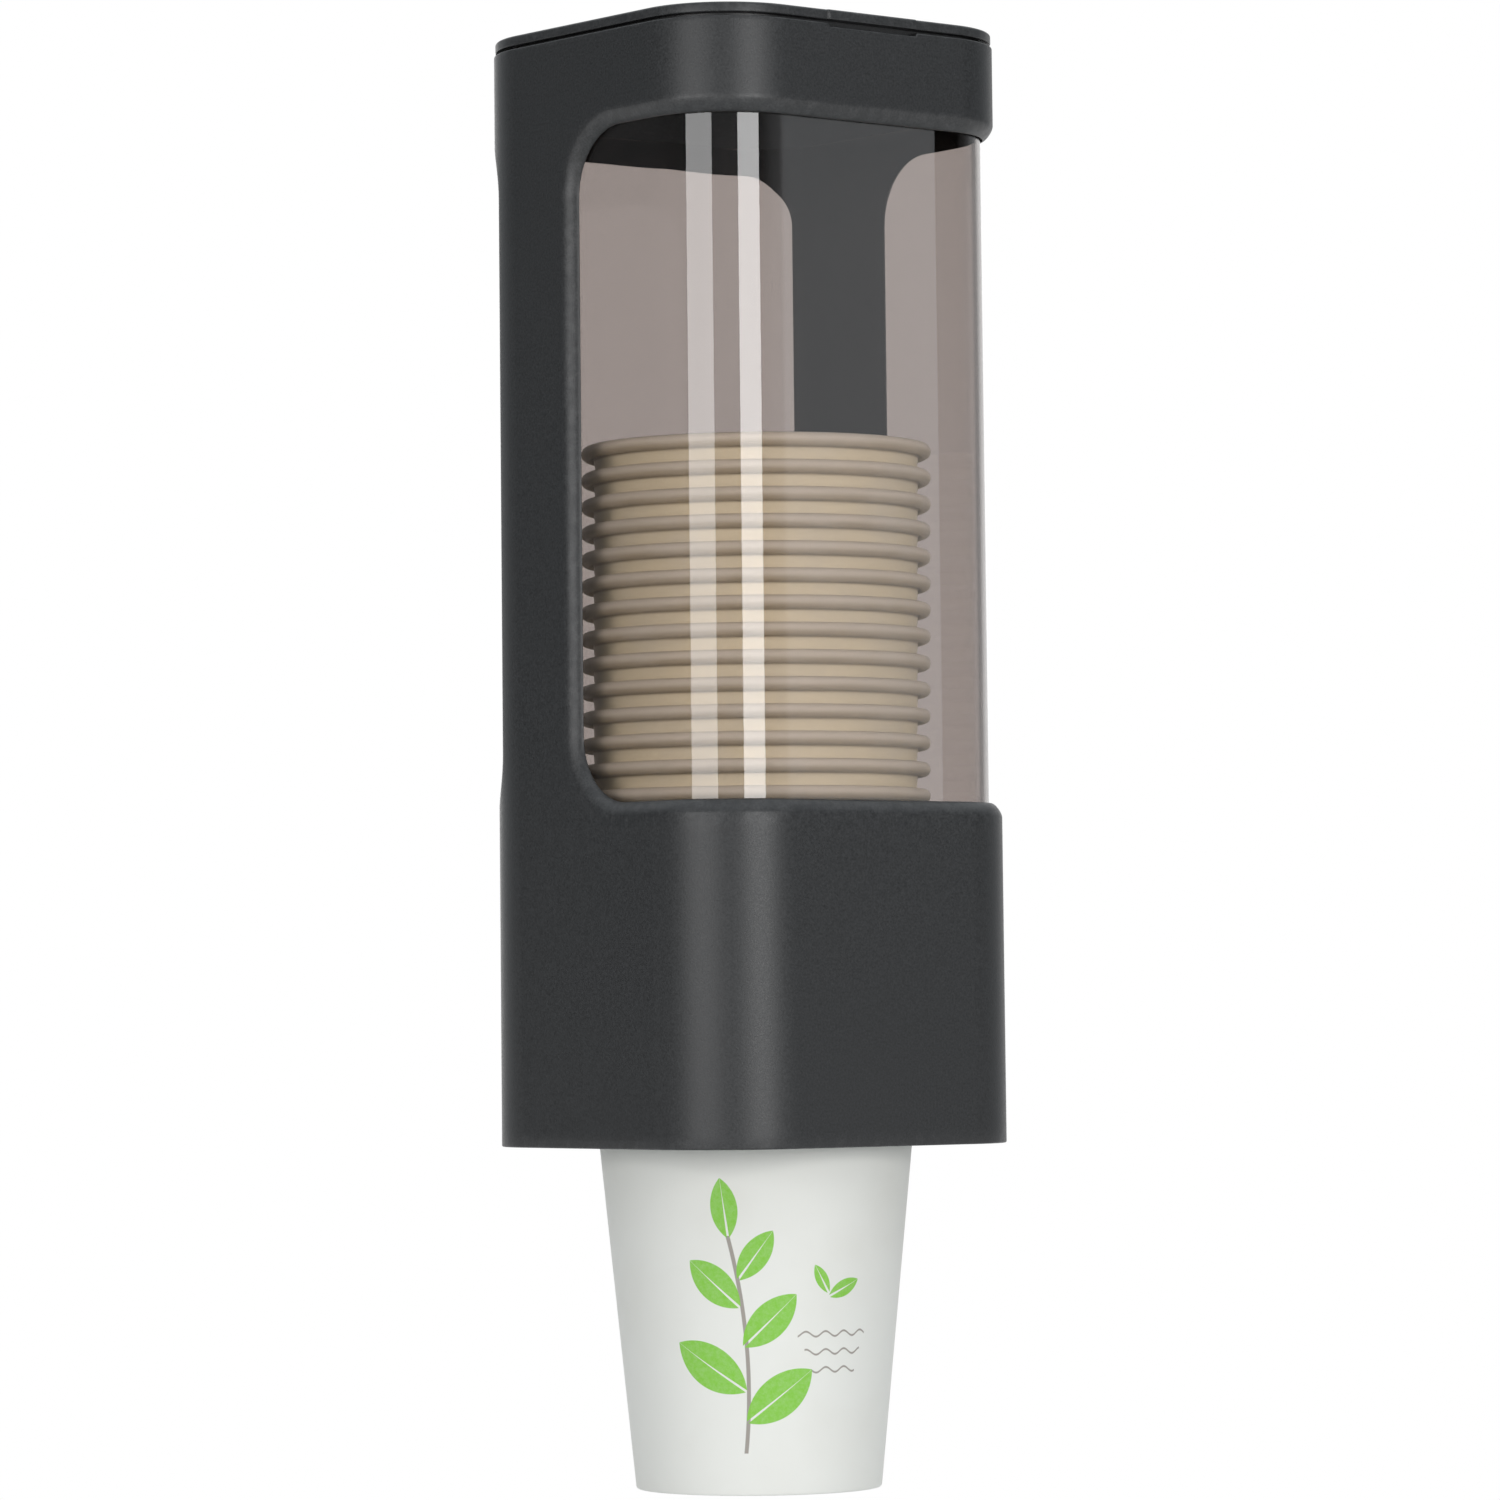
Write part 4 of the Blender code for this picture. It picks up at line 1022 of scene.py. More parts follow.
@dataclass
class BodySheet:
    """The body's wall on its unrolled sheet: s runs round from the middle of the front, z up."""

    half_width: float = 0.04505
    depth: float = 0.0887
    face_flat: float = 0.0483
    back_y: float = -0.0013
    bottom_z: float = -0.0365
    height: float = 0.2374
    draft_share: float = 0.0064
    wall: float = 0.0023

    def __post_init__(self) -> None:
        """Works out where the flats and the corners start, from the front round to the back."""
        self.flat_half = self.face_flat / 2
        self.corner = self.half_width - self.flat_half
        self.side_start = self.flat_half + self.corner * QUARTER
        self.side_end = self.side_start + self.depth - 2 * self.corner
        self.back_start = self.side_end + self.corner * QUARTER
        self.back_middle = self.back_start + self.flat_half
        self.full_turn = 2 * self.back_middle

    def skin(self, s: Spread, z: Spread, inside: Spread = 0.0) -> Array:
        """Points of the body.

        In plan the outline is a straight front, a quarter circle, a straight side, a quarter
        circle and a straight back on each hand; it shrinks evenly with height towards the
        middle of the back.

        Args:
            s: places round the body.
            z: heights.
            inside: how far inside the outer face.

        Returns:
            Points, shaped as the three arguments broadcast.
        """
        s, z, inside = np.broadcast_arrays(*(np.asarray(v, float) for v in (s, z, inside)))
        turn = self.from_front(s)
        hand, t = np.where(turn < 0, -1.0, 1.0), np.abs(turn)
        front = np.clip((t - self.flat_half) / self.corner, 0, QUARTER)
        rear = np.clip((t - self.side_end) / self.corner, 0, QUARTER)
        x = np.minimum(t, self.flat_half) + self.corner * (np.sin(front) - 1 + np.cos(rear))
        x = x - np.maximum(t - self.back_start, 0)
        side = np.clip(t - self.side_start, 0, self.side_end - self.side_start)
        y = self.back_y - self.depth + self.corner * (1 - np.cos(front) + np.sin(rear)) + side
        x, y = x - np.sin(front + rear) * inside, y + np.cos(front + rear) * inside
        shrink = 1 - self.draft_share * (z - self.bottom_z) / self.height
        return joined(hand * x * shrink, self.back_y + (y - self.back_y) * shrink, z)

    def from_front(self, s: Array) -> Array:
        """Places round the body as distances from the middle of the front, left ones negative."""
        return np.mod(s + self.back_middle, self.full_turn) - self.back_middle

    def rear_place(self, y: float, inside: float) -> float:
        """Place in the rear right corner where the skin at a depth reaches y."""
        rise = (y - self.back_y + self.corner) / (self.corner - inside)
        return self.side_end + self.corner * math.asin(min(max(rise, 0.0), 1.0))

    def round_places(self, step: float) -> Array:
        """Places all round the body.

        Args:
            step: the longest step.

        Returns:
            The places, with every change of curve among them.
        """
        right = [self.flat_half, self.side_start, self.side_end, self.back_start]
        marks = [0.0, *right, *(self.full_turn - s for s in reversed(right)), self.full_turn]
        return spread(marks, step)


SHEET = BodySheet()


@dataclass(frozen=True)
class LidSeat:
    """What the housing, the lid and its pins share: the hinge line (y, z) and the finger tab."""

    hinge: Pair = (-0.0060, 0.2013)
    pin_bore: float = 0.0013
    tab_half: float = 0.0120
    tab_ramp: float = 0.0004


SEAT = LidSeat()


@dataclass(frozen=True)
class Throat:
    """Places that the collar, dials, screws and cups share."""

    y: float = -0.04635
    radius: float = 0.0383
    plate_low: float = -0.0266
    plate_high: float = -0.0241
    guide_top: float = -0.0051
    dial_orbit: float = 0.0444
    post_x: float = 0.040338
    post_y_offset: float = 0.0170

    def dial(self, corner: Corner) -> Pair:
        """Plan place of a dial's axis."""
        reach = self.dial_orbit / math.sqrt(2)
        return corner.value[0] * reach, self.y + corner.value[1] * reach

    def post(self, corner: Corner) -> Pair:
        """Plan place of a screw post."""
        return corner.value[0] * self.post_x, self.y + corner.value[1] * self.post_y_offset

    def inward(self, corner: Corner) -> float:
        """Angle from +X to the throat's axis, as a dial sees it."""
        return math.atan2(-corner.value[1], -corner.value[0])


THROAT = Throat()


@dataclass
class Opening:
    """One opening in the housing's wall, with the part of the wall round it.

    Its middle, half width and border are measured round the body; marks are places where the
    wall's top edge changes.
    """

    middle: float
    half: float
    corner: float
    border: float
    marks: list[float]


@dataclass
class Housing(Assembly):
    """Skirt, side columns and top band in one moulding, with screw posts and hinge knuckles."""

    sill_z: float = 0.0365
    band_z: float = 0.1802
    window_edge: float = 0.0838
    window_corner: float = 0.0145
    back_edge: float = 0.114388
    back_corner: float = 0.0120
    lip: float = 0.0022
    lip_width: float = 0.0030
    lip_fullness: float = 1.45
    lip_steps: int = 8
    near_lip_wear: float = 0.3
    rim_round: float = 0.00035
    rim_steps: int = 4
    seam_z: float = 0.2002
    strip_z: float = 0.2035
    tab_scoop: float = 0.0007
    strip_ramp: float = 0.0004
    knuckle_radius: float = 0.0023
    knuckle_inner: float = 0.0263
    knuckle_low: float = 0.1968
    knuckle_high: float = 0.2032
    knuckle_steps: int = 20
    pin_hole_length: float = 0.021
    post_radius: float = 0.0032
    post_low: float = -0.0238
    post_high: float = 0.0155
    post_bore: float = 0.0015
    post_bore_top: float = -0.0151
    post_chamfer: float = 0.0004
    wall_hole: float = 0.0022
    wall_hole_past: float = 0.25
    wall_hole_x: float = 0.0195
    wall_holes: tuple[Pair, ...] = ((0.0, 0.0035), (0.19055, 0.0015))
    step: float = 0.0013
    side_step: float = 0.003
    rows: int = 24

    @property
    def split(self) -> float:
        """Where the wall round the window meets the wall round the back opening."""
        return (self.window_edge + self.back_edge) / 2

    @property
    def strip_start(self) -> float:
        """Where the raised strip behind the lid starts."""
        return SHEET.rear_place(SEAT.hinge[0] - self.knuckle_radius, SHEET.wall)

    def top_z(self, s: Array) -> Array:
        """Height of the top edge: scooped under the lid's tab, raised behind the lid.

        Args:
            s: places round the body.

        Returns:
            A height for each place, in a straight line between the marks.
        """
        ramp_end, strip = SEAT.tab_half + SEAT.tab_ramp, self.strip_start
        places = [0, SEAT.tab_half, ramp_end, strip - self.strip_ramp, strip]
        low = self.seam_z - self.tab_scoop
        heights = [low, low, self.seam_z, self.seam_z, self.strip_z]
        return np.interp(np.abs(SHEET.from_front(s)), places, heights)

    def border_runs(self, opening: Opening) -> tuple[list[Array], list[Array], Array]:
        """Points round the wall's border, anticlockwise from the right side's lower end.

        Args:
            opening: the opening inside the border.

        Returns:
            Four runs along the opening's straight edges, four round its corners, and the places
            along the border's upper and lower edges.
        """
        middle, flat = opening.middle, opening.half - opening.corner
        right, left = middle + opening.border, middle - opening.border
        floor, lid = SHEET.bottom_z + self.rim_round, self.seam_z - self.rim_round
        turn_low, turn_high = self.sill_z + self.window_corner, self.band_z - self.window_corner
        z_low, z_high = spread([floor, turn_low], self.step), spread([turn_high, lid], self.step)
        z_side = spread([turn_low, turn_high], self.side_step)
        inner = sorted(m for m in opening.marks if abs(m - middle) < flat)
        outer = sorted(m for m in opening.marks if m > middle + flat)
        s_flat = spread([middle - flat, *inner, middle + flat], self.step)
        s_zone = spread([middle + flat, *outer, right], self.step)
        mirror = 2 * middle - s_zone

        def upper(s: Array) -> Array:
            """Border points along the top."""
            return joined(s, self.top_z(s) - self.rim_round)

        edges = [
            joined(right, z_side),
            upper(s_flat[::-1]),
            joined(left, z_side[::-1]),
            joined(s_flat, floor),
        ]
        corners = [
            path(joined(right, z_high), upper(s_zone[::-1])[1:]),
            path(upper(mirror), joined(left, z_high[::-1])[1:]),
            path(joined(left, z_low[::-1]), joined(mirror[::-1], floor)[1:]),
            path(joined(s_zone, floor), joined(right, z_low)[1:]),
        ]
        return edges, corners, np.concatenate([mirror[::-1][:-1], s_flat[:-1], s_zone])

    def wall_grids(self, shell: Shell, opening: Opening) -> None:
        """Wall round one opening.

        Columns run from the border in to the opening over the outer face, down its bevel and
        back out over the inner face. The opening's edge is a corner centre plus its radius along
        the normal. The bevel is a quarter of a superellipse, between a straight chamfer and a
        quarter circle. The border's upper and lower edges are closed by rounded rims.

        Args:
            shell: takes the grids.
            opening: which opening.
        """
        edges, corners, across = self.border_runs(opening)
        flat = opening.half - opening.corner
        low, high = self.sill_z + opening.corner, self.band_z - opening.corner
        right, left = opening.middle + flat, opening.middle - flat
        centres = np.array([(right, high), (left, high), (left, low), (right, low)])
        borders, bases, normals = [], [], []
        for number, (edge, corner) in enumerate(zip(edges, corners)):
            start, end = centres[number - 1], centres[number]
            share = np.linspace(0, 1, len(edge))
            if number % 2:
                share = (edge[:, 0] - start[0]) / (end[0] - start[0])
            share = np.append(share[:-1], np.ones(len(corner) - 1))[:, None]
            turn = np.append(np.zeros(len(edge) - 1), np.linspace(0, QUARTER, len(corner))[:-1])
            turn = turn + number * QUARTER
            normals.append(joined(np.cos(turn), np.sin(turn)))
            bases.append(start * (1 - share) + end * share + opening.corner * normals[-1])
            borders.append(np.concatenate([edge[:-1], corner[:-1]]))
        border, base, normal = (closed(np.concatenate(part)) for part in (borders, bases, normals))

        share = np.linspace(0, 1, self.rows + 1)
        quarter = np.linspace(0, QUARTER, self.lip_steps + 1)[1:]
        shares = np.concatenate([share, np.ones(len(quarter)), share[::-1]])[:, None, None]
        power = 2 / self.lip_fullness
        slope = self.lip_width * (1 - np.sin(quarter) ** power)
        depth = self.lip * (1 - np.clip(np.cos(quarter), 0, 1) ** power)
        away = np.concatenate([np.full(len(share), self.lip_width), slope, np.zeros(len(share))])
        inside = np.concatenate([np.zeros(len(share)), depth, np.full(len(share), SHEET.wall)])
        target = base[None] + normal[None] * away[:, None, None]
        flat_grid = border[None] * (1 - shares) + target * shares
        worn = np.zeros(len(shares))
        worn[self.rows : self.rows + self.lip_steps - 1] = 1.0
        worn[self.rows - 1] = self.near_lip_wear
        grid = SHEET.skin(flat_grid[..., 0], flat_grid[..., 1], inside[:, None])
        shell.add(grid, worn=worn[:, None])
        self.rim_grid(shell, across, self.top_z(across), -1.0)
        self.rim_grid(shell, across, np.full_like(across, SHEET.bottom_z), 1.0)

    def rim_grid(self, shell: Shell, s: Array, edge_z: Array, into: float) -> None:
        """Rounded rim along the wall's upper or lower edge.

        Its section runs round a quarter circle, across the edge and round a second one.

        Args:
            shell: takes the grid.
            s: places along the rim.
            edge_z: height of the edge at each place.
            into: 1 where the wall lies above the edge, -1 where it lies below.
        """
        quarter = np.linspace(0, QUARTER, self.rim_steps + 1)
        drop = self.rim_round * np.concatenate([1 - np.sin(quarter), 1 - np.cos(quarter)])
        inside = self.rim_round * (1 - np.cos(quarter))
        inside = np.concatenate([inside, SHEET.wall - self.rim_round * (1 - np.sin(quarter))])
        grid = SHEET.skin(s[None, :], edge_z[None, :] + into * drop[:, None], inside[:, None])
        shell.add(grid, worn=1.0)

    def knuckle_grid(self, side: int) -> Array:
        """One hinge knuckle, which fills the rear corner between the roll and the wall.

        Args:
            side: -1 on the left, 1 on the right.

        Returns:
            Grid of points: its plan at its two heights, closed at both.
        """
        front = SEAT.hinge[0] - self.knuckle_radius
        centre = (SHEET.flat_half, SHEET.back_y - SHEET.corner)
        radius = SHEET.corner - SHEET.wall / 2
        first = math.acos(min(max((self.knuckle_inner - centre[0]) / radius, 0.0), 1.0))
        last = math.asin((front - centre[1]) / radius)
        shrink = 1 - SHEET.draft_share
        curve = arc(centre, radius, last, first, self.knuckle_steps) * shrink
        curve[:, 1] += SHEET.back_y * (1 - shrink)
        curve[-1, 0] = self.knuckle_inner
        plan = path((self.knuckle_inner, front), curve) * (side, 1)
        return closed_loft([set_at(plan, Axis.Z, z) for z in (self.knuckle_low, self.knuckle_high)])

    def post_profile(self) -> Array:
        """Screw post with chamfered ends and a pilot hole from below.

        Returns:
            (radius, height) points from the top to the hole's blind end.
        """
        chamfer = self.post_chamfer
        return path(
            (0, self.post_high),
            (self.post_radius - chamfer, self.post_high),
            (self.post_radius, self.post_high - chamfer),
            (self.post_radius, self.post_low + chamfer),
            (self.post_radius - chamfer, self.post_low),
            (self.post_bore + chamfer, self.post_low),
            (self.post_bore, self.post_low + chamfer),
            (self.post_bore, self.post_bore_top),
            (0, self.post_bore_top + self.post_bore / 2),
        )

    def moulding(self) -> Piece:
        """The moulded shell, with the holes and the knock-outs for wall screws in its back.

        Returns:
            The shell.
        """
        tab = [SEAT.tab_half, SEAT.tab_half + SEAT.tab_ramp]
        tab = [-m for m in reversed(tab)] + tab
        strip = [SHEET.full_turn - s for s in (self.strip_start, self.strip_start - self.strip_ramp)]
        half, border = SHEET.back_middle - self.back_edge, SHEET.back_middle - self.split
        shell = Shell()
        self.wall_grids(shell, Opening(0.0, self.window_edge, self.window_corner, self.split, tab))
        self.wall_grids(shell, Opening(SHEET.back_middle, half, self.back_corner, border, strip))
        moulding = shell.to_object("housing_moulding")

        holes, behind = Shell(), SHEET.back_y + SHEET.wall * self.wall_hole_past
        for side in (-1, 1):
            for z, depth in self.wall_holes:
                loop = arc((side * self.wall_hole_x, z), self.wall_hole, 0, FULL_TURN, POST_TURNS)[:-1]
                holes.add(closed_loft([set_at(loop, Axis.Y, y) for y in (SHEET.back_y - depth, behind)]))
        combine(moulding, holes, Join.CUT)
        return moulding

    def posts(self) -> Piece:
        """The four screw posts as one piece.

        Returns:
            The piece.
        """
        posts = Shell()
        for corner in Corner:
            posts.add(turned(self.post_profile(), (*THROAT.post(corner), 0.0), turns=POST_TURNS))
        return posts.to_object("screw_posts")

    def knuckles(self) -> Piece:
        """Both hinge knuckles as one piece, bored for the pins.

        Returns:
            The piece.
        """
        knuckles, bores = Shell(), Shell()
        for side in (-1, 1):
            knuckles.add(self.knuckle_grid(side))
            start, length = side * (self.knuckle_inner - SHEET.wall), side * self.pin_hole_length
            line = path((0, 0), (SEAT.pin_bore, 0), (SEAT.pin_bore, length), (0, length))
            bores.add(turned(line, (start, *SEAT.hinge), Axis.X))
        piece = knuckles.to_object("hinge_knuckles")
        combine(piece, bores, Join.CUT)
        return piece

    def build(self) -> None:
        """Makes the moulded shell, its posts and its knuckles."""
        for piece in (self.moulding(), self.posts(), self.knuckles()):
            self.settle(piece, "housing", "body_plastic", "housing")


@dataclass
class Sleeve(Assembly):
    """Clear smoked tube round the stack, standing on the posts."""

    low_z: float = 0.0158
    high_z: float = 0.1862
    outer: float = 0.0026
    inner: float = 0.0036
    edge: float = 0.0002
    edge_steps: int = 3
    step: float = 0.0008
    easing: int = 4
    easing_rounds: int = 2

    def eased(self, grid: Array) -> Array:
        """Grid whose corners bend gradually into its flats, as a blown or moulded tube's do.

        Each point becomes the mean of its neighbours along the outline, in each round, so the
        curvature rises and falls along a slope and the view through the wall doesn't jump.

        Args:
            grid: points, its last column on its first.

        Returns:
            Grid of the same shape.
        """
        ring, reach = grid[:, :-1], range(-self.easing, self.easing + 1)
        for _ in range(self.easing_rounds):
            ring = sum(np.roll(ring, k, axis=1) for k in reach) / len(reach)
        return np.concatenate([ring, ring[:, :1]], axis=1)

    def build(self) -> None:
        """Makes the tube: a closed section of the wall carried round the body's outline.

        Its faces stay flat right up to the rounded ends, because an extra row lies next to each.
        """
        quarter = np.linspace(0, QUARTER, self.edge_steps + 1)
        bend = np.append(2 * self.edge, self.edge * (1 - np.sin(quarter)))
        flat = np.append(0.0, self.edge * (1 - np.cos(quarter)))
        high, low = self.high_z - bend, self.low_z + bend
        outer, inner = self.outer + flat, self.inner - flat
        z = closed(np.concatenate([high, high[::-1], low, low[::-1]]))
        inside = closed(np.concatenate([outer, inner[::-1], inner, outer[::-1]]))
        grid = SHEET.skin(SHEET.round_places(self.step)[None, :], z[:, None], inside[:, None])
        tube = Shell().add(self.eased(grid)).to_object("smoked_tube")
        self.settle(tube, "housing", "smoked_clear", "window_sleeve")


@dataclass
class Lid(Assembly):
    """Hinged lid: a plate with a finger tab, a locating rim below it and a roll at the rear."""

    low_z: float = 0.2010
    high_z: float = 0.2031
    step_in: float = 0.0003
    edge: float = 0.0006
    edge_steps: int = 6
    under_edge: float = 0.00015
    rear_y: float = -0.0095
    web: float = 0.0240
    tab_proud: float = 0.0005
    loop_step: float = 0.0011
    rim_outer: float = 0.0028
    rim_wall: float = 0.0012
    rim_low: float = 0.1979
    rim_to_back: float = 0.0200
    rim_step: float = 0.0013
    roll_half: float = 0.0260
    roll_radius: float = 0.0019
    roll_chamfer: float = 0.00025
    bore_depth: float = 0.0100
    middle_y: float = -0.0450
    face_shares: tuple[float, ...] = (0.0, 0.35, 0.7, 0.92, 0.985)

    def loop(self, z: float, inset: float) -> Array:
        """The plate's outline at one height, with a ramped bulge for the tab in front.

        Args:
            z: the height.
            inset: how far the edge is drawn in.

        Returns:
            Loop of points.
        """
        end = SHEET.rear_place(self.rear_y, 0.0)
        tab = [SEAT.tab_half, SEAT.tab_half + SEAT.tab_ramp]
        right = [*tab, SHEET.flat_half, SHEET.side_start, SHEET.side_end, end]
        s = spread([-m for m in reversed(right)] + right, self.loop_step)
        proud = np.interp(np.abs(s), tab, [self.tab_proud, 0.0])
        front = SHEET.skin(s, z, self.step_in + inset - proud)
        rear = [(self.web, self.rear_y, z), (self.web, SEAT.hinge[0], z)]
        return np.concatenate([front, rear, [(-x, y, height) for x, y, height in reversed(rear)]])

    def plate(self) -> tuple[Array, Array]:
        """The plate: outlines up its rounded edge, and smaller ones that close its two faces.

        Returns:
            Grid of points, and how worn each row is.
        """
        loops = [self.loop(self.low_z, self.under_edge), self.loop(self.low_z + self.under_edge, 0.0)]
        for a in np.linspace(0, QUARTER, self.edge_steps + 1):
            drop, inset = self.edge * (1 - math.sin(a)), self.edge * (1 - math.cos(a))
            loops.append(self.loop(self.high_z - drop, inset))

        def face(loop: Array) -> list[Array]:
            """Outlines drawn in towards the middle of the plate at the loop's height."""
            aim = np.array([0.0, self.middle_y, loop[0, 2]])
            return [aim + (loop - aim) * share for share in self.face_shares]

        rows = face(loops[0]) + loops + face(loops[-1])[::-1]
        first = len(self.face_shares) + 1
        worn = np.zeros(len(rows))
        worn[first : first + len(loops) - 1] = 1.0
        return np.stack([closed(row) for row in rows]), worn

    def rim(self, shell: Shell) -> None:
        """Locating rim: a rounded section carried along the inside of the housing's edge.

        Args:
            shell: takes the rim and its two ends.
        """
        end = SHEET.side_end + SHEET.corner - self.rim_to_back
        marks = [m for m in (SHEET.flat_half, SHEET.side_start, SHEET.side_end, end) if m <= end]
        s = spread([-m for m in reversed(marks)] + marks, self.rim_step)
        half, top = self.rim_wall / 2, self.low_z + (self.high_z - self.low_z) / 2
        bowl = arc((self.rim_outer + half, self.rim_low + half), half, math.pi, FULL_TURN, BOWL_STEPS)
        section = closed(path(bowl, (self.rim_outer + self.rim_wall, top), (self.rim_outer, top)))
        grid = SHEET.skin(s[None, :], section[:, 1][:, None], section[:, 0][:, None])
        shell.add(grid)
        for column in (grid[:, 0], grid[:, -1]):
            centre = np.broadcast_to(column[:-1].mean(axis=0), column.shape)
            shell.add(np.stack([column, centre]))

    def roll(self) -> Array:
        """The roll that turns on the pins, bored at both ends.

        Returns:
            Grid of points.
        """
        chamfer, bottom = self.roll_chamfer, self.roll_half - self.bore_depth
        right = path(
            (0, bottom),
            (SEAT.pin_bore, bottom),
            (SEAT.pin_bore, self.roll_half - chamfer),
            (SEAT.pin_bore + chamfer, self.roll_half),
            (self.roll_radius - chamfer, self.roll_half),
            (self.roll_radius, self.roll_half - chamfer),
        )
        left = right[::-1] * (1, -1)
        return turned(path(right, left), (0.0, *SEAT.hinge), Axis.X, turns=POST_TURNS)

    def build(self) -> None:
        """Makes the lid."""
        grid, worn = self.plate()
        shell = Shell().add(grid, worn=worn[:, None])
        self.rim(shell)
        shell.add(self.roll())
        self.settle(shell.to_object("lid_moulding"), "lid", "body_plastic", "lid")


@dataclass
class HingePins(Assembly):
    """Two short steel pins with rounded ends."""

    radius: float = 0.0010
    nose: float = 0.0004
    start: float = 0.0170
    end: float = 0.0350

    def build(self) -> None:
        """Makes both pins."""
        nose, rim = self.nose, self.radius - self.nose
        near = arc((rim, self.start + nose), nose, -QUARTER, 0, BEND_STEPS)
        far = arc((rim, self.end - nose), nose, 0, QUARTER, BEND_STEPS)
        profile = path((0, self.start), near, far, (0, self.end))
        for side, label in ((-1, "left"), (1, "right")):
            grid = turned(profile * (1, side), (0.0, *SEAT.hinge), Axis.X)
            pin = Shell().add(grid).to_object(f"steel_pin_{label}")
            self.settle(pin, "housing", "screw_steel", f"hinge_pin_{label}")


@dataclass
class Collar(Assembly):
    """Plate that closes the skirt, with the throat, its guide wall and the dials' bosses."""

    inset: float = 0.0026
    edge: float = 0.0003
    guide_wall: float = 0.0012
    fillet: float = 0.0006
    mouth: float = 0.0004
    boss_radius: float = 0.0032
    boss_top: float = -0.0183
    boss_chamfer: float = 0.0003
    bore: float = 0.0015
    bore_top: float = -0.0193
    bore_tip_share: float = 0.25
    hole_low: float = -0.001
    hole_high: float = 0.0035
    step: float = 0.0013
    face_shares: tuple[float, ...] = (0.25, 0.5, 0.75)

    def plate(self) -> Array:
        """One closed section: plate, guide wall and throat, carried round the outline.

        Each column runs from the outline to the throat's circle at the same angle about the
        throat's axis; a row lies at one share of that way.

        Returns:
            Grid of points, its last row on its first.
        """
        s = SHEET.round_places(self.step)
        low, high = THROAT.plate_low, THROAT.plate_high
        rim = [(low, self.inset + self.edge), (low + self.edge, self.inset)]
        rim += [(high - self.edge, self.inset), (high, self.inset + self.edge)]
        outer = [SHEET.skin(s, z, inside) for z, inside in rim]
        angle = np.arctan2(outer[0][:, 1] - THROAT.y, outer[0][:, 0])

        def ring(radius: float, z: float) -> Array:
            """Circle about the throat's axis."""
            return joined(radius * np.cos(angle), THROAT.y + radius * np.sin(angle), z)

        def between(first: Array, last: Array) -> list[Array]:
            """Rows at shares of the way from one row to another."""
            return [first * (1 - share) + last * share for share in self.face_shares]

        foot = THROAT.radius + self.guide_wall
        place = (foot + self.fillet, high + self.fillet)
        fillet = arc(place, self.fillet, -QUARTER, -2 * QUARTER, BEND_STEPS)
        half, top = self.guide_wall / 2, THROAT.guide_top
        crown = arc((THROAT.radius + half, top - half), half, 0, math.pi, BOWL_STEPS)
        place = (THROAT.radius + self.mouth, low + self.mouth)
        mouth = arc(place, self.mouth, math.pi, 3 * QUARTER, BEND_STEPS)
        rings = [ring(r, z) for r, z in path(fillet, crown, mouth)]
        upper, under = between(outer[3], rings[0]), between(rings[-1], outer[0])
        return np.stack([*outer, *upper, *rings, *under, outer[0]])

    def boss_profile(self) -> Array:
        """Boss with a blind hole from below.

        Returns:
            (radius, height) points from the top to the hole's blind end.
        """
        chamfer = self.boss_chamfer
        return path(
            (0, self.boss_top),
            (self.boss_radius - chamfer, self.boss_top),
            (self.boss_radius, self.boss_top - chamfer),
            (self.boss_radius, THROAT.plate_high),
            (self.bore, THROAT.plate_high),
            (self.bore, self.bore_top),
            (0, self.bore_top + self.bore * self.bore_tip_share),
        )

    def build(self) -> None:
        """Makes the collar with its screw holes and bosses."""
        collar = Shell().add(self.plate()).to_object("throat_collar_moulding")
        holes, bosses, low, high = Shell(), Shell(), self.hole_low, self.hole_high
        line = path((0, low), (self.bore, low), (self.bore, high), (0, high))
        for corner in Corner:
            for place in (THROAT.post(corner), THROAT.dial(corner)):
                holes.add(turned(line, (*place, THROAT.plate_low)))
            bosses.add(turned(self.boss_profile(), (*THROAT.dial(corner), 0.0), turns=POST_TURNS))
        combine(collar, holes, Join.CUT)
        for piece in (collar, bosses.to_object("dial_bosses")):
            self.settle(piece, "housing", "body_plastic", "throat_collar")


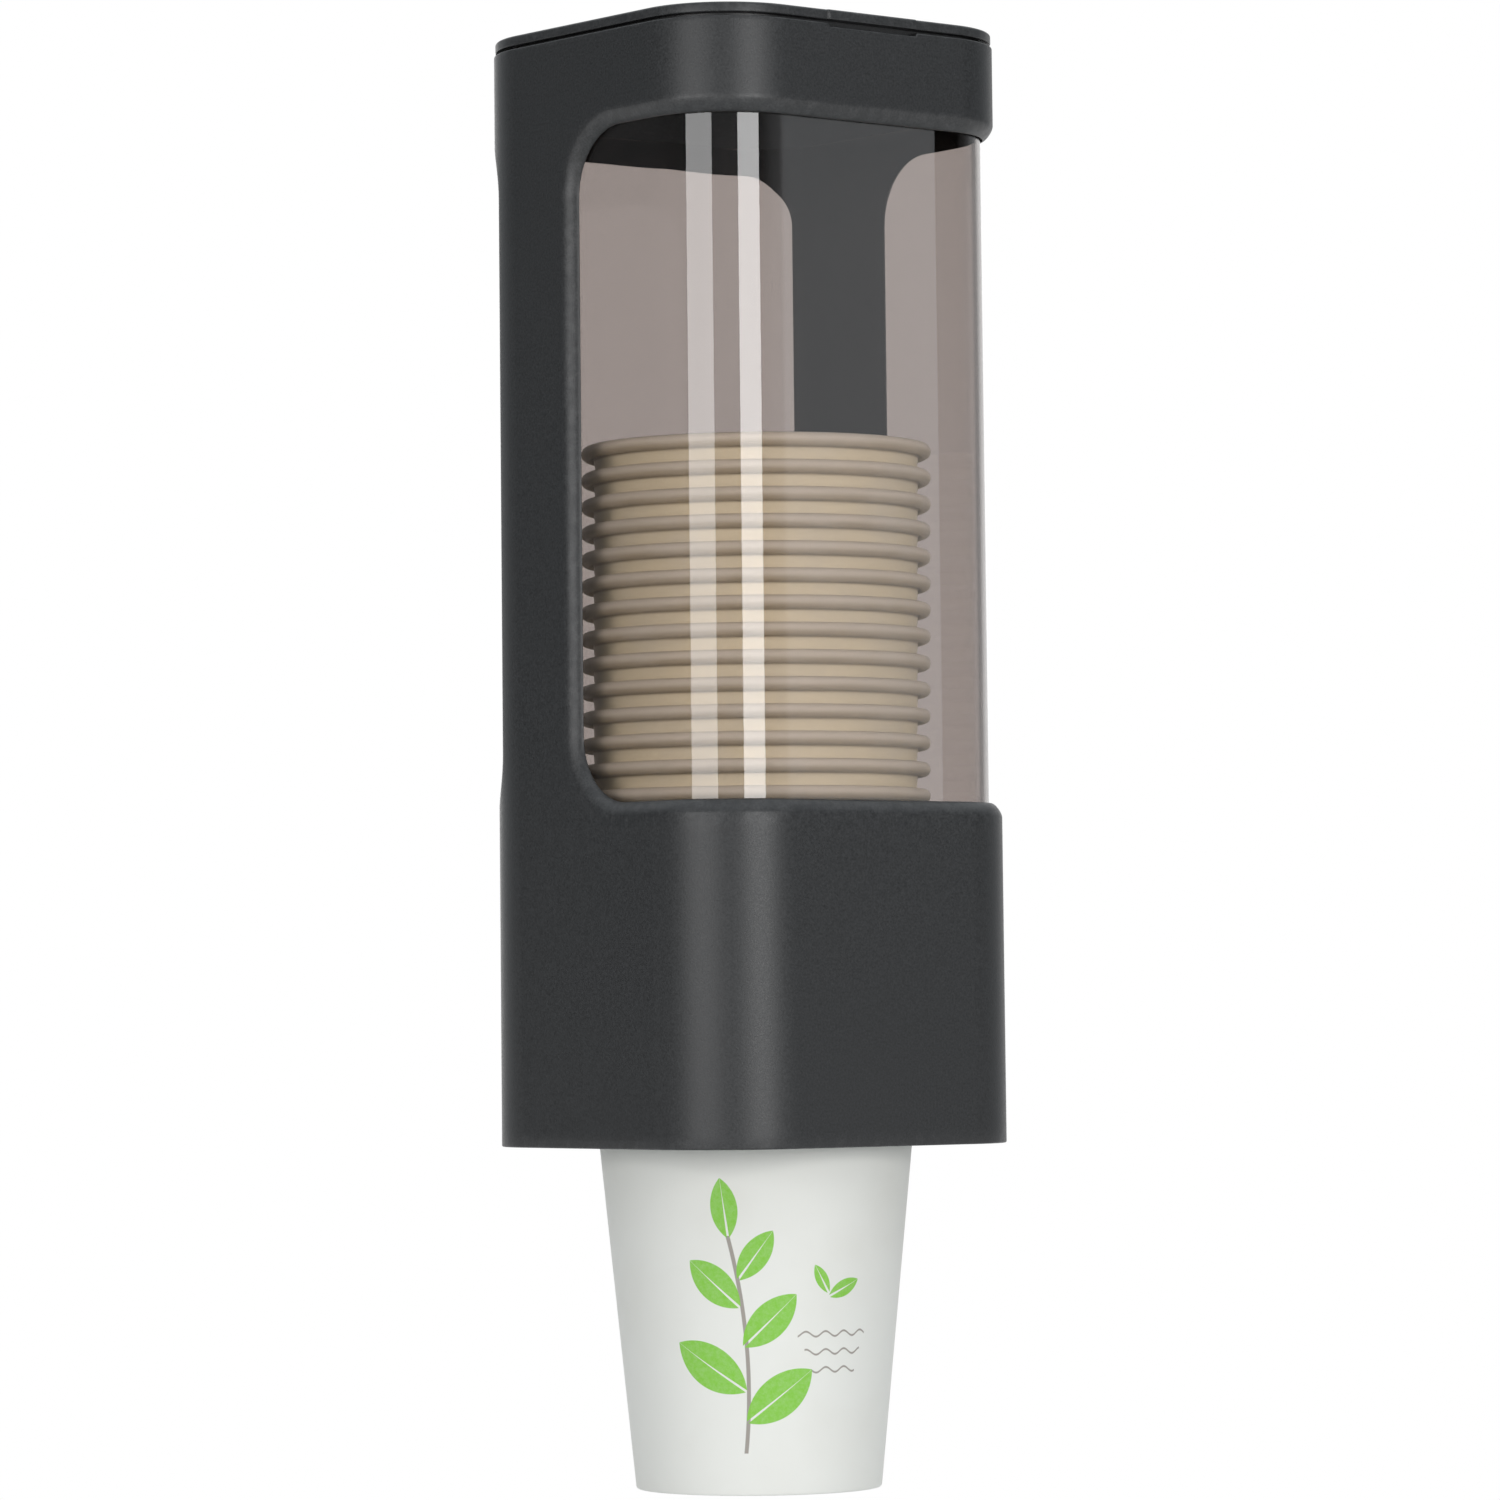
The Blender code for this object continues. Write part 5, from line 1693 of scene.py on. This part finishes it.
@dataclass
class SizeDials(Assembly):
    """Fluted dials under the collar, each with a soft tongue that holds the lowest cup."""

    radius: float = 0.0055
    top_z: float = -0.0269
    bottom_z: float = -0.0299
    edge: float = 0.0005
    rise_step: float = 0.0006
    bore: float = 0.0015
    seat: float = 0.0025
    overrun: float = 0.001
    flutes: int = 20
    flute_depth: float = 0.0003
    turns: int = 160
    grip_half: float = 0.0050
    grip_width: float = 0.0013
    grip_drop: float = 0.0014
    grip_round: float = 0.0004
    slot_root: float = 0.0023
    slot_half: float = 0.0023
    slot_floor: float = -0.0286
    slot_round: float = 0.0002
    tongue_root: float = 0.0026
    tongue_tip: float = 0.0091
    tongue_half: float = 0.0020
    tongue_low: float = -0.0283
    tongue_high: float = -0.0271
    tongue_round: float = 0.00045
    tongue_steps: int = 5
    tip_start_share: float = 0.55
    tip_length_share: float = 0.47
    tip_least_share: float = 0.04
    thinning_share: float = 0.2

    def dial(self, corner: Corner) -> Piece:
        """One dial: a fluted disc with a bar across it for the fingers and a slot for the tongue.

        Args:
            corner: where it stands.

        Returns:
            The dial.
        """
        place, turn = THROAT.dial(corner), THROAT.inward(corner)
        r, high, low, edge = self.radius, self.top_z, self.bottom_z, self.edge
        above, drop = high + self.overrun, low - self.grip_drop

        def flute(angle: Array, height: Array) -> Array:
            """Shallow grooves that fade out towards both faces."""
            fade = np.clip(np.minimum(high - height, height - low) / edge, 0, 1)
            return -self.flute_depth * fade * (0.5 - 0.5 * np.cos(self.flutes * angle))

        rise = spread([low + edge, high - edge], self.rise_step)
        below = arc((r - edge, low + edge), edge, -QUARTER, 0, BEND_STEPS)
        over = arc((r - edge, high - edge), edge, 0, QUARTER, BEND_STEPS)
        rim = path(below, joined(r, rise), over)
        outside = turned(rim, (*place, 0.0), turns=self.turns, swell=flute)
        inside = turned(path((self.bore, high), (self.bore, low)), (*place, 0.0), turns=self.turns)
        shell = Shell().add(np.concatenate([outside, inside, outside[:1]]))
        dial = shell.to_object(f"fluted_dial_{corner.label}", FINE_CREASE)

        first = (-self.grip_half, -self.grip_width, drop)
        last = (self.grip_half, self.grip_width, low + self.overrun)
        bar = placed(rounded_block(first, last, self.grip_round), turn, place)
        first = (self.slot_root, -self.slot_half, self.slot_floor)
        last = (r + self.overrun, self.slot_half, above)
        slot = placed(rounded_block(first, last, self.slot_round), turn, place)
        line = path((0, drop - self.overrun), (self.seat, drop - self.overrun), (self.seat, low))
        line = path(line, (self.bore, low), (self.bore, above), (0, above))
        seat = turned(line, (*place, 0.0), turns=HEAD_TURNS)
        for tool, how in ((bar, Join.ADD), (slot, Join.CUT), (seat, Join.CUT)):
            combine(dial, Shell().add(tool), how, FINE_CREASE)
        return dial

    def tongue(self, corner: Corner) -> Piece:
        """One tongue: a flat strip that narrows and thins a little to a rounded tip.

        Its half width is scaled by sqrt(1 - t^2), with t from 0 where the tip starts.

        Args:
            corner: where it stands.

        Returns:
            The tongue.
        """
        low = (self.tongue_root, -self.tongue_half, self.tongue_low)
        high = (self.tongue_tip, self.tongue_half, self.tongue_high)
        strip = rounded_block(low, high, self.tongue_round, self.tongue_steps)
        share = (strip[..., 0] - self.tongue_root) / (self.tongue_tip - self.tongue_root)
        t = np.clip((share - self.tip_start_share) / self.tip_length_share, 0, 1)
        strip[..., 1] *= np.sqrt(np.clip(1 - t**2, self.tip_least_share, 1))
        thinner = 1 - self.thinning_share * share
        strip[..., 2] = self.tongue_high + (strip[..., 2] - self.tongue_high) * thinner
        grid = placed(strip, THROAT.inward(corner), THROAT.dial(corner))
        return Shell().add(grid).to_object(f"soft_tongue_{corner.label}")

    def build(self) -> None:
        """Makes the four dials and the four tongues."""
        for corner in Corner:
            node = f"size_dial_{corner.label}"
            self.settle(self.dial(corner), node, "mechanism_plastic", node)
            self.settle(self.tongue(corner), node, "tongue_rubber", f"stop_tongue_{corner.label}")


@dataclass
class Screws(Assembly):
    """Slotted pan-head screws that point up: four hold the collar, four carry the dials."""

    radius: float = 0.0012
    core: float = 0.00095
    head: float = 0.0022
    head_height: float = 0.0016
    dome_share: float = 0.55
    dome_steps: int = 8
    head_round: float = 0.00015
    neck: float = 0.0003
    thread_gap: float = 0.0006
    slot_half: float = 0.0003
    slot_depth: float = 0.0007
    slot_round: float = 0.00005
    slot_length_share: float = 1.2
    overrun: float = 0.001
    thread_pitch: float = 0.0008
    thread_fade: float = 0.0004
    steps_a_pitch: int = 8
    collar_seat: float = -0.0269
    collar_tip: float = -0.0161
    dial_seat: float = -0.0302
    dial_tip: float = -0.0196

    def screw(self, name: str, centre: Pair, seat: float, tip: float) -> Piece:
        """One screw; the thread is a radius that rises and falls with height minus turn.

        Args:
            name: the piece's name.
            centre: plan place of its axis.
            seat: height of the face under its head.
            tip: height of its point.

        Returns:
            The screw.
        """
        bottom = seat - self.head_height
        dome = np.linspace(0, QUARTER, self.dome_steps + 1)
        crown_z = bottom + self.head_height * self.dome_share * (1 - np.cos(dome))
        start, point = seat + self.thread_gap, tip - self.radius
        rise = np.arange(start, point, self.thread_pitch / self.steps_a_pitch)
        profile = path(
            joined(self.head * np.sin(dome), crown_z),
            (self.head, seat - self.head_round),
            (self.head - self.head_round, seat),
            (self.radius, seat),
            (self.radius, seat + self.neck),
            joined(self.core, rise),
            (self.core, point),
            (0, tip),
        )

        def thread(angle: Array, height: Array) -> Array:
            """Sharp ridges wound round the shank, dying out at both ends.

            Args:
                angle: round the shank.
                height: up the screw.

            Returns:
                Extra radius.
            """
            phase = np.mod((height - start) / self.thread_pitch - angle / FULL_TURN, 1.0)
            ridge = 1 - np.abs(2 * phase - 1)
            begun, left = ((end / self.thread_fade).clip(0, 1) for end in (height - start, point - height))
            return (self.radius - self.core) * ridge * begun * left

        grid = turned(profile, (*centre, 0.0), turns=HEAD_TURNS, swell=thread)
        screw = Shell().add(grid).to_object(name, FINE_CREASE)
        reach = self.head * self.slot_length_share
        first = (-reach, -self.slot_half, bottom - self.overrun)
        last = (reach, self.slot_half, bottom + self.slot_depth)
        slot = placed(rounded_block(first, last, self.slot_round, 1), 0.0, centre)
        combine(screw, Shell().add(slot), Join.CUT, FINE_CREASE)
        return screw

    def build(self) -> None:
        """Makes all eight screws."""
        for corner in Corner:
            for name, node, place, seat, tip in (
                ("fixing_screw", "collar_screw", THROAT.post(corner), self.collar_seat, self.collar_tip),
                ("pivot_screw", "dial_screw", THROAT.dial(corner), self.dial_seat, self.dial_tip),
            ):
                screw = self.screw(f"{name}_{corner.label}", place, seat, tip)
                self.settle(screw, "housing", "screw_steel", f"{node}_{corner.label}")


@dataclass
class WallPads(Assembly):
    """Two foam pads on the back; each place is a label, a middle height and a half height."""

    half_width: float = 0.0150
    thickness: float = 0.0010
    corner: float = 0.0020
    bulge: float = 0.00012
    corner_steps: int = 6
    bulge_steps: int = 8
    places: tuple[tuple[str, float, float], ...] = (("lower", 0.0, 0.0200), ("upper", 0.19055, 0.0070))

    def pad(self, name: str, z: float, half_height: float) -> Piece:
        """One pad: a rounded rectangle carried through its thickness, drawn in at the two faces.

        Args:
            name: the piece's name.
            z: height of its middle.
            half_height: half its height.

        Returns:
            The pad.
        """

        def loop(y: float, inset: float) -> Array:
            """Rounded rectangle at one depth.

            Args:
                y: the depth.
                inset: how far its edge is drawn in.

            Returns:
                Loop of points.
            """
            x, rise = self.half_width - inset - self.corner, half_height - inset - self.corner
            centres = ((x, z + rise), (-x, z + rise), (-x, z - rise), (x, z - rise))
            runs = [
                arc(centre, self.corner, k * QUARTER, (k + 1) * QUARTER, self.corner_steps)
                for k, centre in enumerate(centres)
            ]
            return set_at(np.concatenate(runs), Axis.Y, y)

        loops = []
        for a in np.linspace(0, math.pi, self.bulge_steps + 1):
            loops.append(loop(-self.thickness * (1 - math.cos(a)) / 2, self.bulge * (1 - math.sin(a))))
        return Shell().add(closed_loft(loops)).to_object(name, BROAD_CREASE)

    def build(self) -> None:
        """Makes both pads."""
        for label, z, half_height in self.places:
            pad = self.pad(f"foam_pad_{label}", z, half_height)
            self.settle(pad, "housing", "pad_foam", f"wall_pad_{label}")


@dataclass
class CupStack(Assembly):
    """The nested paper cups, lowest first.

    Angles are in degrees. The seam lies opposite the middle of the print, and each cup is turned
    by the twist against the one below.
    """

    count: int = 25
    base_z: float = -0.1100
    pitch: float = 0.00574
    lean: Pair = (0.00005, -0.00004)
    height: float = 0.0866
    foot: float = 0.0264
    mouth: float = 0.0350
    rim: float = 0.0375
    bead_height: float = 0.0030
    bead_half: float = 0.0014
    bead_start: float = -2.45
    bead_gap: float = 0.0012
    paper: float = 0.0003
    recess: float = 0.00514
    hem: float = 0.0009
    hem_bend: float = 0.0005
    floor_bend: float = 0.0001
    under_bend: float = 0.0004
    inner_gap: float = 0.0008
    floor_rise: float = 0.0002
    floor_edge: float = 0.0003
    floor_round: float = 0.0010
    seam_rise: float = 0.00018
    seam_width: float = 0.0060
    seam_slope: float = 0.0008
    seam_fade: float = 0.002
    seam_angle: float = 410.9
    twist: float = 137.5
    turns: int = 112
    wall_rows: int = 30
    bead_rows: int = 26
    inner_rows: int = 16
    under_ring_share: float = 0.6
    floor_ring_share: float = 0.5
    hem_top_share: float = 1.5

    def wall(self, z: Spread) -> Spread:
        """Outer radius of the wall at a height above the foot."""
        return self.foot + (self.mouth - self.foot) * z / self.height

    def profile(self) -> tuple[Array, Array]:
        """Half section of a cup, and which of its points lie on the printed side.

        It runs under the floor, down the hem and round it, up the wall, round the bead, down
        the inside and in over the floor.

        Returns:
            (radius, height) points, and 1 for each point of the outer wall.
        """
        hem_round, low = self.hem / 2, self.recess
        high, inner_foot = low + self.paper, self.foot - self.hem
        bead_x, bead_z = self.rim - self.bead_half, self.height - self.bead_height / 2
        under = path((0, low), (inner_foot * self.under_ring_share, low))
        under = path(under, (inner_foot - self.under_bend, low - self.floor_bend))
        hem = path((inner_foot, low - self.hem_bend), (inner_foot, hem_round))
        foot = arc((self.foot - hem_round, hem_round), hem_round, math.pi, FULL_TURN, BOWL_STEPS)
        rise = np.linspace(hem_round * self.hem_top_share, bead_z - self.bead_gap, self.wall_rows)
        wall = joined(self.wall(rise), rise)
        turn = np.linspace(self.bead_start, math.pi, self.bead_rows)
        curl = joined(bead_x + self.bead_half * np.cos(turn), bead_z + self.bead_height / 2 * np.sin(turn))
        fall = np.linspace(bead_z - self.inner_gap, high + self.inner_gap, self.inner_rows)
        inner = joined(self.wall(fall) - self.paper, fall)
        end = self.wall(high) - self.paper
        bend = path((end - self.floor_edge, high + self.floor_rise), (end - self.floor_round, high))
        floor = path((end * self.floor_ring_share, high), (0, high))
        line = path(under, hem, foot[1:-1], wall, curl, inner, bend, floor)
        printed = np.zeros(len(line))
        first = len(under) + len(hem) + len(foot) - 2
        printed[first : first + len(wall)] = 1.0
        return line, printed

    def grid(self, number: int) -> tuple[Array, Array, Array]:
        """One cup: the half section turned, with the raised overlap of the side seam.

        Args:
            number: place in the stack, from 0.

        Returns:
            The points, the printed side's mark and the flat places.
        """
        line, printed = self.profile()

        def seam(angle: Array, height: Array) -> Array:
            """Overlap of the board, a low step round the join.

            Args:
                angle: from the join.
                height: above the foot.

            Returns:
                Extra radius.
            """
            from_join = (np.mod(angle + math.pi, FULL_TURN) - math.pi) * self.foot
            step = np.clip((self.seam_width / 2 - np.abs(from_join)) / self.seam_slope, 0, 1)
            fade = np.clip((self.height - self.bead_height - height) / self.seam_fade, 0, 1)
            return self.seam_rise * step * fade

        grid = turned(line, (0.0, 0.0, 0.0), turns=self.turns, swell=seam)
        turn = math.radians(self.seam_angle + self.twist * number)
        grid = placed(grid, turn, (self.lean[0] * number, THROAT.y + self.lean[1] * number))
        grid[..., 2] += self.base_z + self.pitch * number
        flat = joined(np.linspace(0, 1, self.turns + 1), (line[:, 1] / self.height)[:, None])
        return grid, printed[:, None], flat

    def build(self) -> None:
        """Makes every cup of the stack."""
        for number in range(self.count):
            label = f"cup_{number + 1:02d}"
            grid, printed, chart = self.grid(number)
            shell = Shell().add(grid, outside=printed, chart=chart)
            cup = shell.to_object(f"paper_{label}", BROAD_CREASE, charted=True)
            self.settle(cup, "next_cup" if number == 0 else "cup_stack", "cup_paper", label)


# Studio


@dataclass(frozen=True)
class Lamp:
    """A flat softbox that faces a point in plan, placed by its direction from there.

    The direction is an angle from straight in front of the object, positive towards its left.
    """

    name: str
    degrees: float
    distance: float
    width: float
    height: float
    centre_z: float
    radiance: float
    aim: Pair = (-0.030, -0.080)

    def build(self) -> None:
        """Makes the lamp; its power follows from radiance = power / (pi area)."""
        data = bpy.data.lights.new(self.name, "AREA")
        data.shape = "RECTANGLE"
        data.size, data.size_y = self.width, self.height
        data.energy = self.radiance * math.pi * self.width * self.height
        lamp = bpy.data.objects.new(self.name, data)
        bpy.context.scene.collection.objects.link(lamp)
        turn = math.radians(self.degrees)
        x = self.aim[0] - self.distance * math.sin(turn)
        y = self.aim[1] - self.distance * math.cos(turn)
        lamp.location = (x, y, self.centre_z)
        inwards = Vector((self.aim[0] - x, self.aim[1] - y, 0.0))
        lamp.rotation_euler = inwards.to_track_quat("-Z", "Y").to_euler()
        lamp.visible_camera = False
        lamp.visible_transmission = False


@dataclass(frozen=True)
class Wall:
    """A stretch of the room, lighter or darker than the rest, between two angles in degrees.

    Its ends fade over twice the rise and twice the fall.
    """

    start: float
    end: float
    rise: float
    fall: float
    extra: float


@dataclass
class Studio:
    """Camera, lamps, pale floor and white surroundings."""

    camera_place: Triple = (-0.86088, -1.10442, -0.00803)
    azimuth: float = -39.1146
    pitch: float = 2.38
    roll: float = -0.5636
    lens: float = 151.53
    sensor: float = 36.0
    clip: Pair = (0.05, 60.0)
    floor_z: float = -0.95
    floor_half: float = 8.0
    floor_squares: int = 8
    floor_colour: Triple = (0.72, 0.72, 0.71)
    floor_roughness: float = 0.7
    floor_fade: Pair = (1.1, 2.6)
    white: Triple = (1.0, 1.0, 1.0)
    room_level: float = 0.093
    room_tint: Triple = (0.95, 1.0, 1.04)
    ceiling_turn: Pair = (0.30, 0.90)
    ceiling_level: float = 1.0
    mirrored_way: Triple = (0.63, 0.776, 0.0)
    mirrored_turn: Pair = (0.71, 0.89)
    walls: tuple[Wall, ...] = (
        Wall(-122.0, -76.0, 4.0, 12.0, 0.28),
        Wall(-58.0, -41.03, 5.0, 0.03, -0.09),
        Wall(-41.03, -22.0, 0.03, 13.0, 0.24),
        Wall(-41.03, -35.0, 0.03, 2.0, 0.48),
        Wall(-8.0, 66.0, 3.0, 3.0, 0.09),
        Wall(164.0, 200.0, 6.0, 1.0, 0.55),
    )
    lamps: tuple[Lamp, ...] = (
        Lamp("side_softbox", 75.1, 1.20, 0.79, 0.45, 0.170, 4.8),
        Lamp("front_softbox", 7.0, 1.20, 0.635, 0.42, 0.160, 7.8),
        Lamp("rear_fill", -150.0, 1.60, 1.00, 0.80, 0.35, 1.0),
    )

    def camera(self) -> None:
        """Camera at the photograph's place; its axes come from azimuth, pitch and roll."""
        a, p, r = (math.radians(v) for v in (self.azimuth, self.pitch, self.roll))
        right = Vector((math.cos(a), math.sin(a), 0))
        ahead = Vector((-math.sin(a) * math.cos(p), math.cos(a) * math.cos(p), math.sin(p)))
        up = right.cross(ahead)
        across = math.cos(r) * right + math.sin(r) * up
        upward = math.cos(r) * up - math.sin(r) * right
        data = bpy.data.cameras.new("photo_camera")
        data.lens, data.sensor_width, data.sensor_fit = self.lens, self.sensor, "HORIZONTAL"
        data.clip_start, data.clip_end = self.clip
        camera = bpy.data.objects.new("photo_camera", data)
        turn = Matrix((across, upward, -ahead)).transposed().to_4x4()
        camera.matrix_world = Matrix.Translation(self.camera_place) @ turn
        bpy.context.scene.collection.objects.link(camera)
        bpy.context.scene.camera = camera

    def floor(self) -> None:
        """Pale floor, lit near the object and plain white further out."""
        steps = np.linspace(-self.floor_half, self.floor_half, self.floor_squares + 1)
        floor = Shell().add(joined(steps, steps[:, None], self.floor_z)).to_object("studio_floor")
        material, graph, shader, output = blank("pale_floor")
        graph.wire(shader, Base_Color=self.floor_colour, Roughness=self.floor_roughness)
        away = graph.put("ShaderNodeVectorMath", {0: graph.place()}, operation="LENGTH").outputs["Value"]
        ray = graph.put("ShaderNodeLightPath").outputs
        seen = graph.math("MAXIMUM", graph.in_sight(ray), ray["Is Glossy Ray"])
        white = graph.put("ShaderNodeEmission", {"Color": self.white, "Strength": 1.0}).outputs[0]
        far = graph.product(graph.ramp(away, *self.floor_fade), seen)
        graph.blend(output, far, shader.outputs[0], white)
        floor.data.materials.append(material)

    def room(self, graph: Graph, heading: Signal) -> Socket:
        """Colour of the dim room.

        Its level depends on the angle from straight in front, positive to the object's left:
        each wall adds its own level between its ends, and the ceiling adds its own.

        Args:
            graph: of the world.
            heading: which way a ray goes.

        Returns:
            The colour.
        """
        part = graph.put("ShaderNodeSeparateXYZ", {0: heading}).outputs
        left, front = graph.product(part["X"], -1.0), graph.product(part["Y"], -1.0)
        angle = graph.math("DEGREES", graph.math("ARCTAN2", left, front))
        level = self.room_level
        for wall in self.walls:
            begun = graph.ramp(angle, wall.start - wall.rise, wall.start + wall.rise)
            left_over = graph.ramp(angle, wall.end + wall.fall, wall.end - wall.fall)
            level = graph.math("ADD", level, graph.product(begun, left_over, wall.extra))
        level = graph.math("ADD", level, graph.ramp(part["Z"], *self.ceiling_turn, 0.0, self.ceiling_level))
        tinted = {i: graph.product(level, share) for i, share in enumerate(self.room_tint)}
        return graph.put("ShaderNodeCombineColor", tinted).outputs[0]

    def surroundings(self) -> None:
        """White to the eye, through clear plastic and in glancing reflections, and a dim room else."""
        world = bpy.data.worlds.new("studio_room")
        world.use_nodes = True
        bpy.context.scene.world = world
        graph = Graph(world.node_tree)
        heading = graph.put("ShaderNodeTexCoord").outputs["Generated"]
        ray = graph.put("ShaderNodeLightPath").outputs
        facing = {0: heading, 1: self.mirrored_way}
        behind = graph.put("ShaderNodeVectorMath", facing, operation="DOT_PRODUCT").outputs["Value"]
        mirrored = graph.product(ray["Is Glossy Ray"], graph.ramp(behind, *self.mirrored_turn))
        seen = graph.math("MAXIMUM", graph.in_sight(ray), mirrored)
        colour = graph.tint(seen, self.room(graph, heading), self.white)
        graph.wire(world.node_tree.nodes["Background"], Color=colour, Strength=1.0)

    def build(self) -> None:
        """Sets the studio up."""
        self.camera()
        for lamp in self.lamps:
            lamp.build()
        self.floor()
        self.surroundings()
        bpy.context.scene.view_settings.view_transform = "Standard"


def corners(box: tuple) -> list[list[float]]:
    """A box's two corners as plain lists."""
    return [[float(v) for v in corner] for corner in box]


def main() -> None:
    """Builds the studio and every piece."""
    logging.basicConfig(level=logging.INFO, format="%(message)s")
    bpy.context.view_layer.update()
    Studio().build()
    finishes = make_finishes()
    for kind in (Housing, Sleeve, Lid, HingePins, Collar, SizeDials, Screws, WallPads, CupStack):
        LOG.info("building %s", kind.__name__)
        kind(finishes).build()


if __name__ == "__main__":
    main()
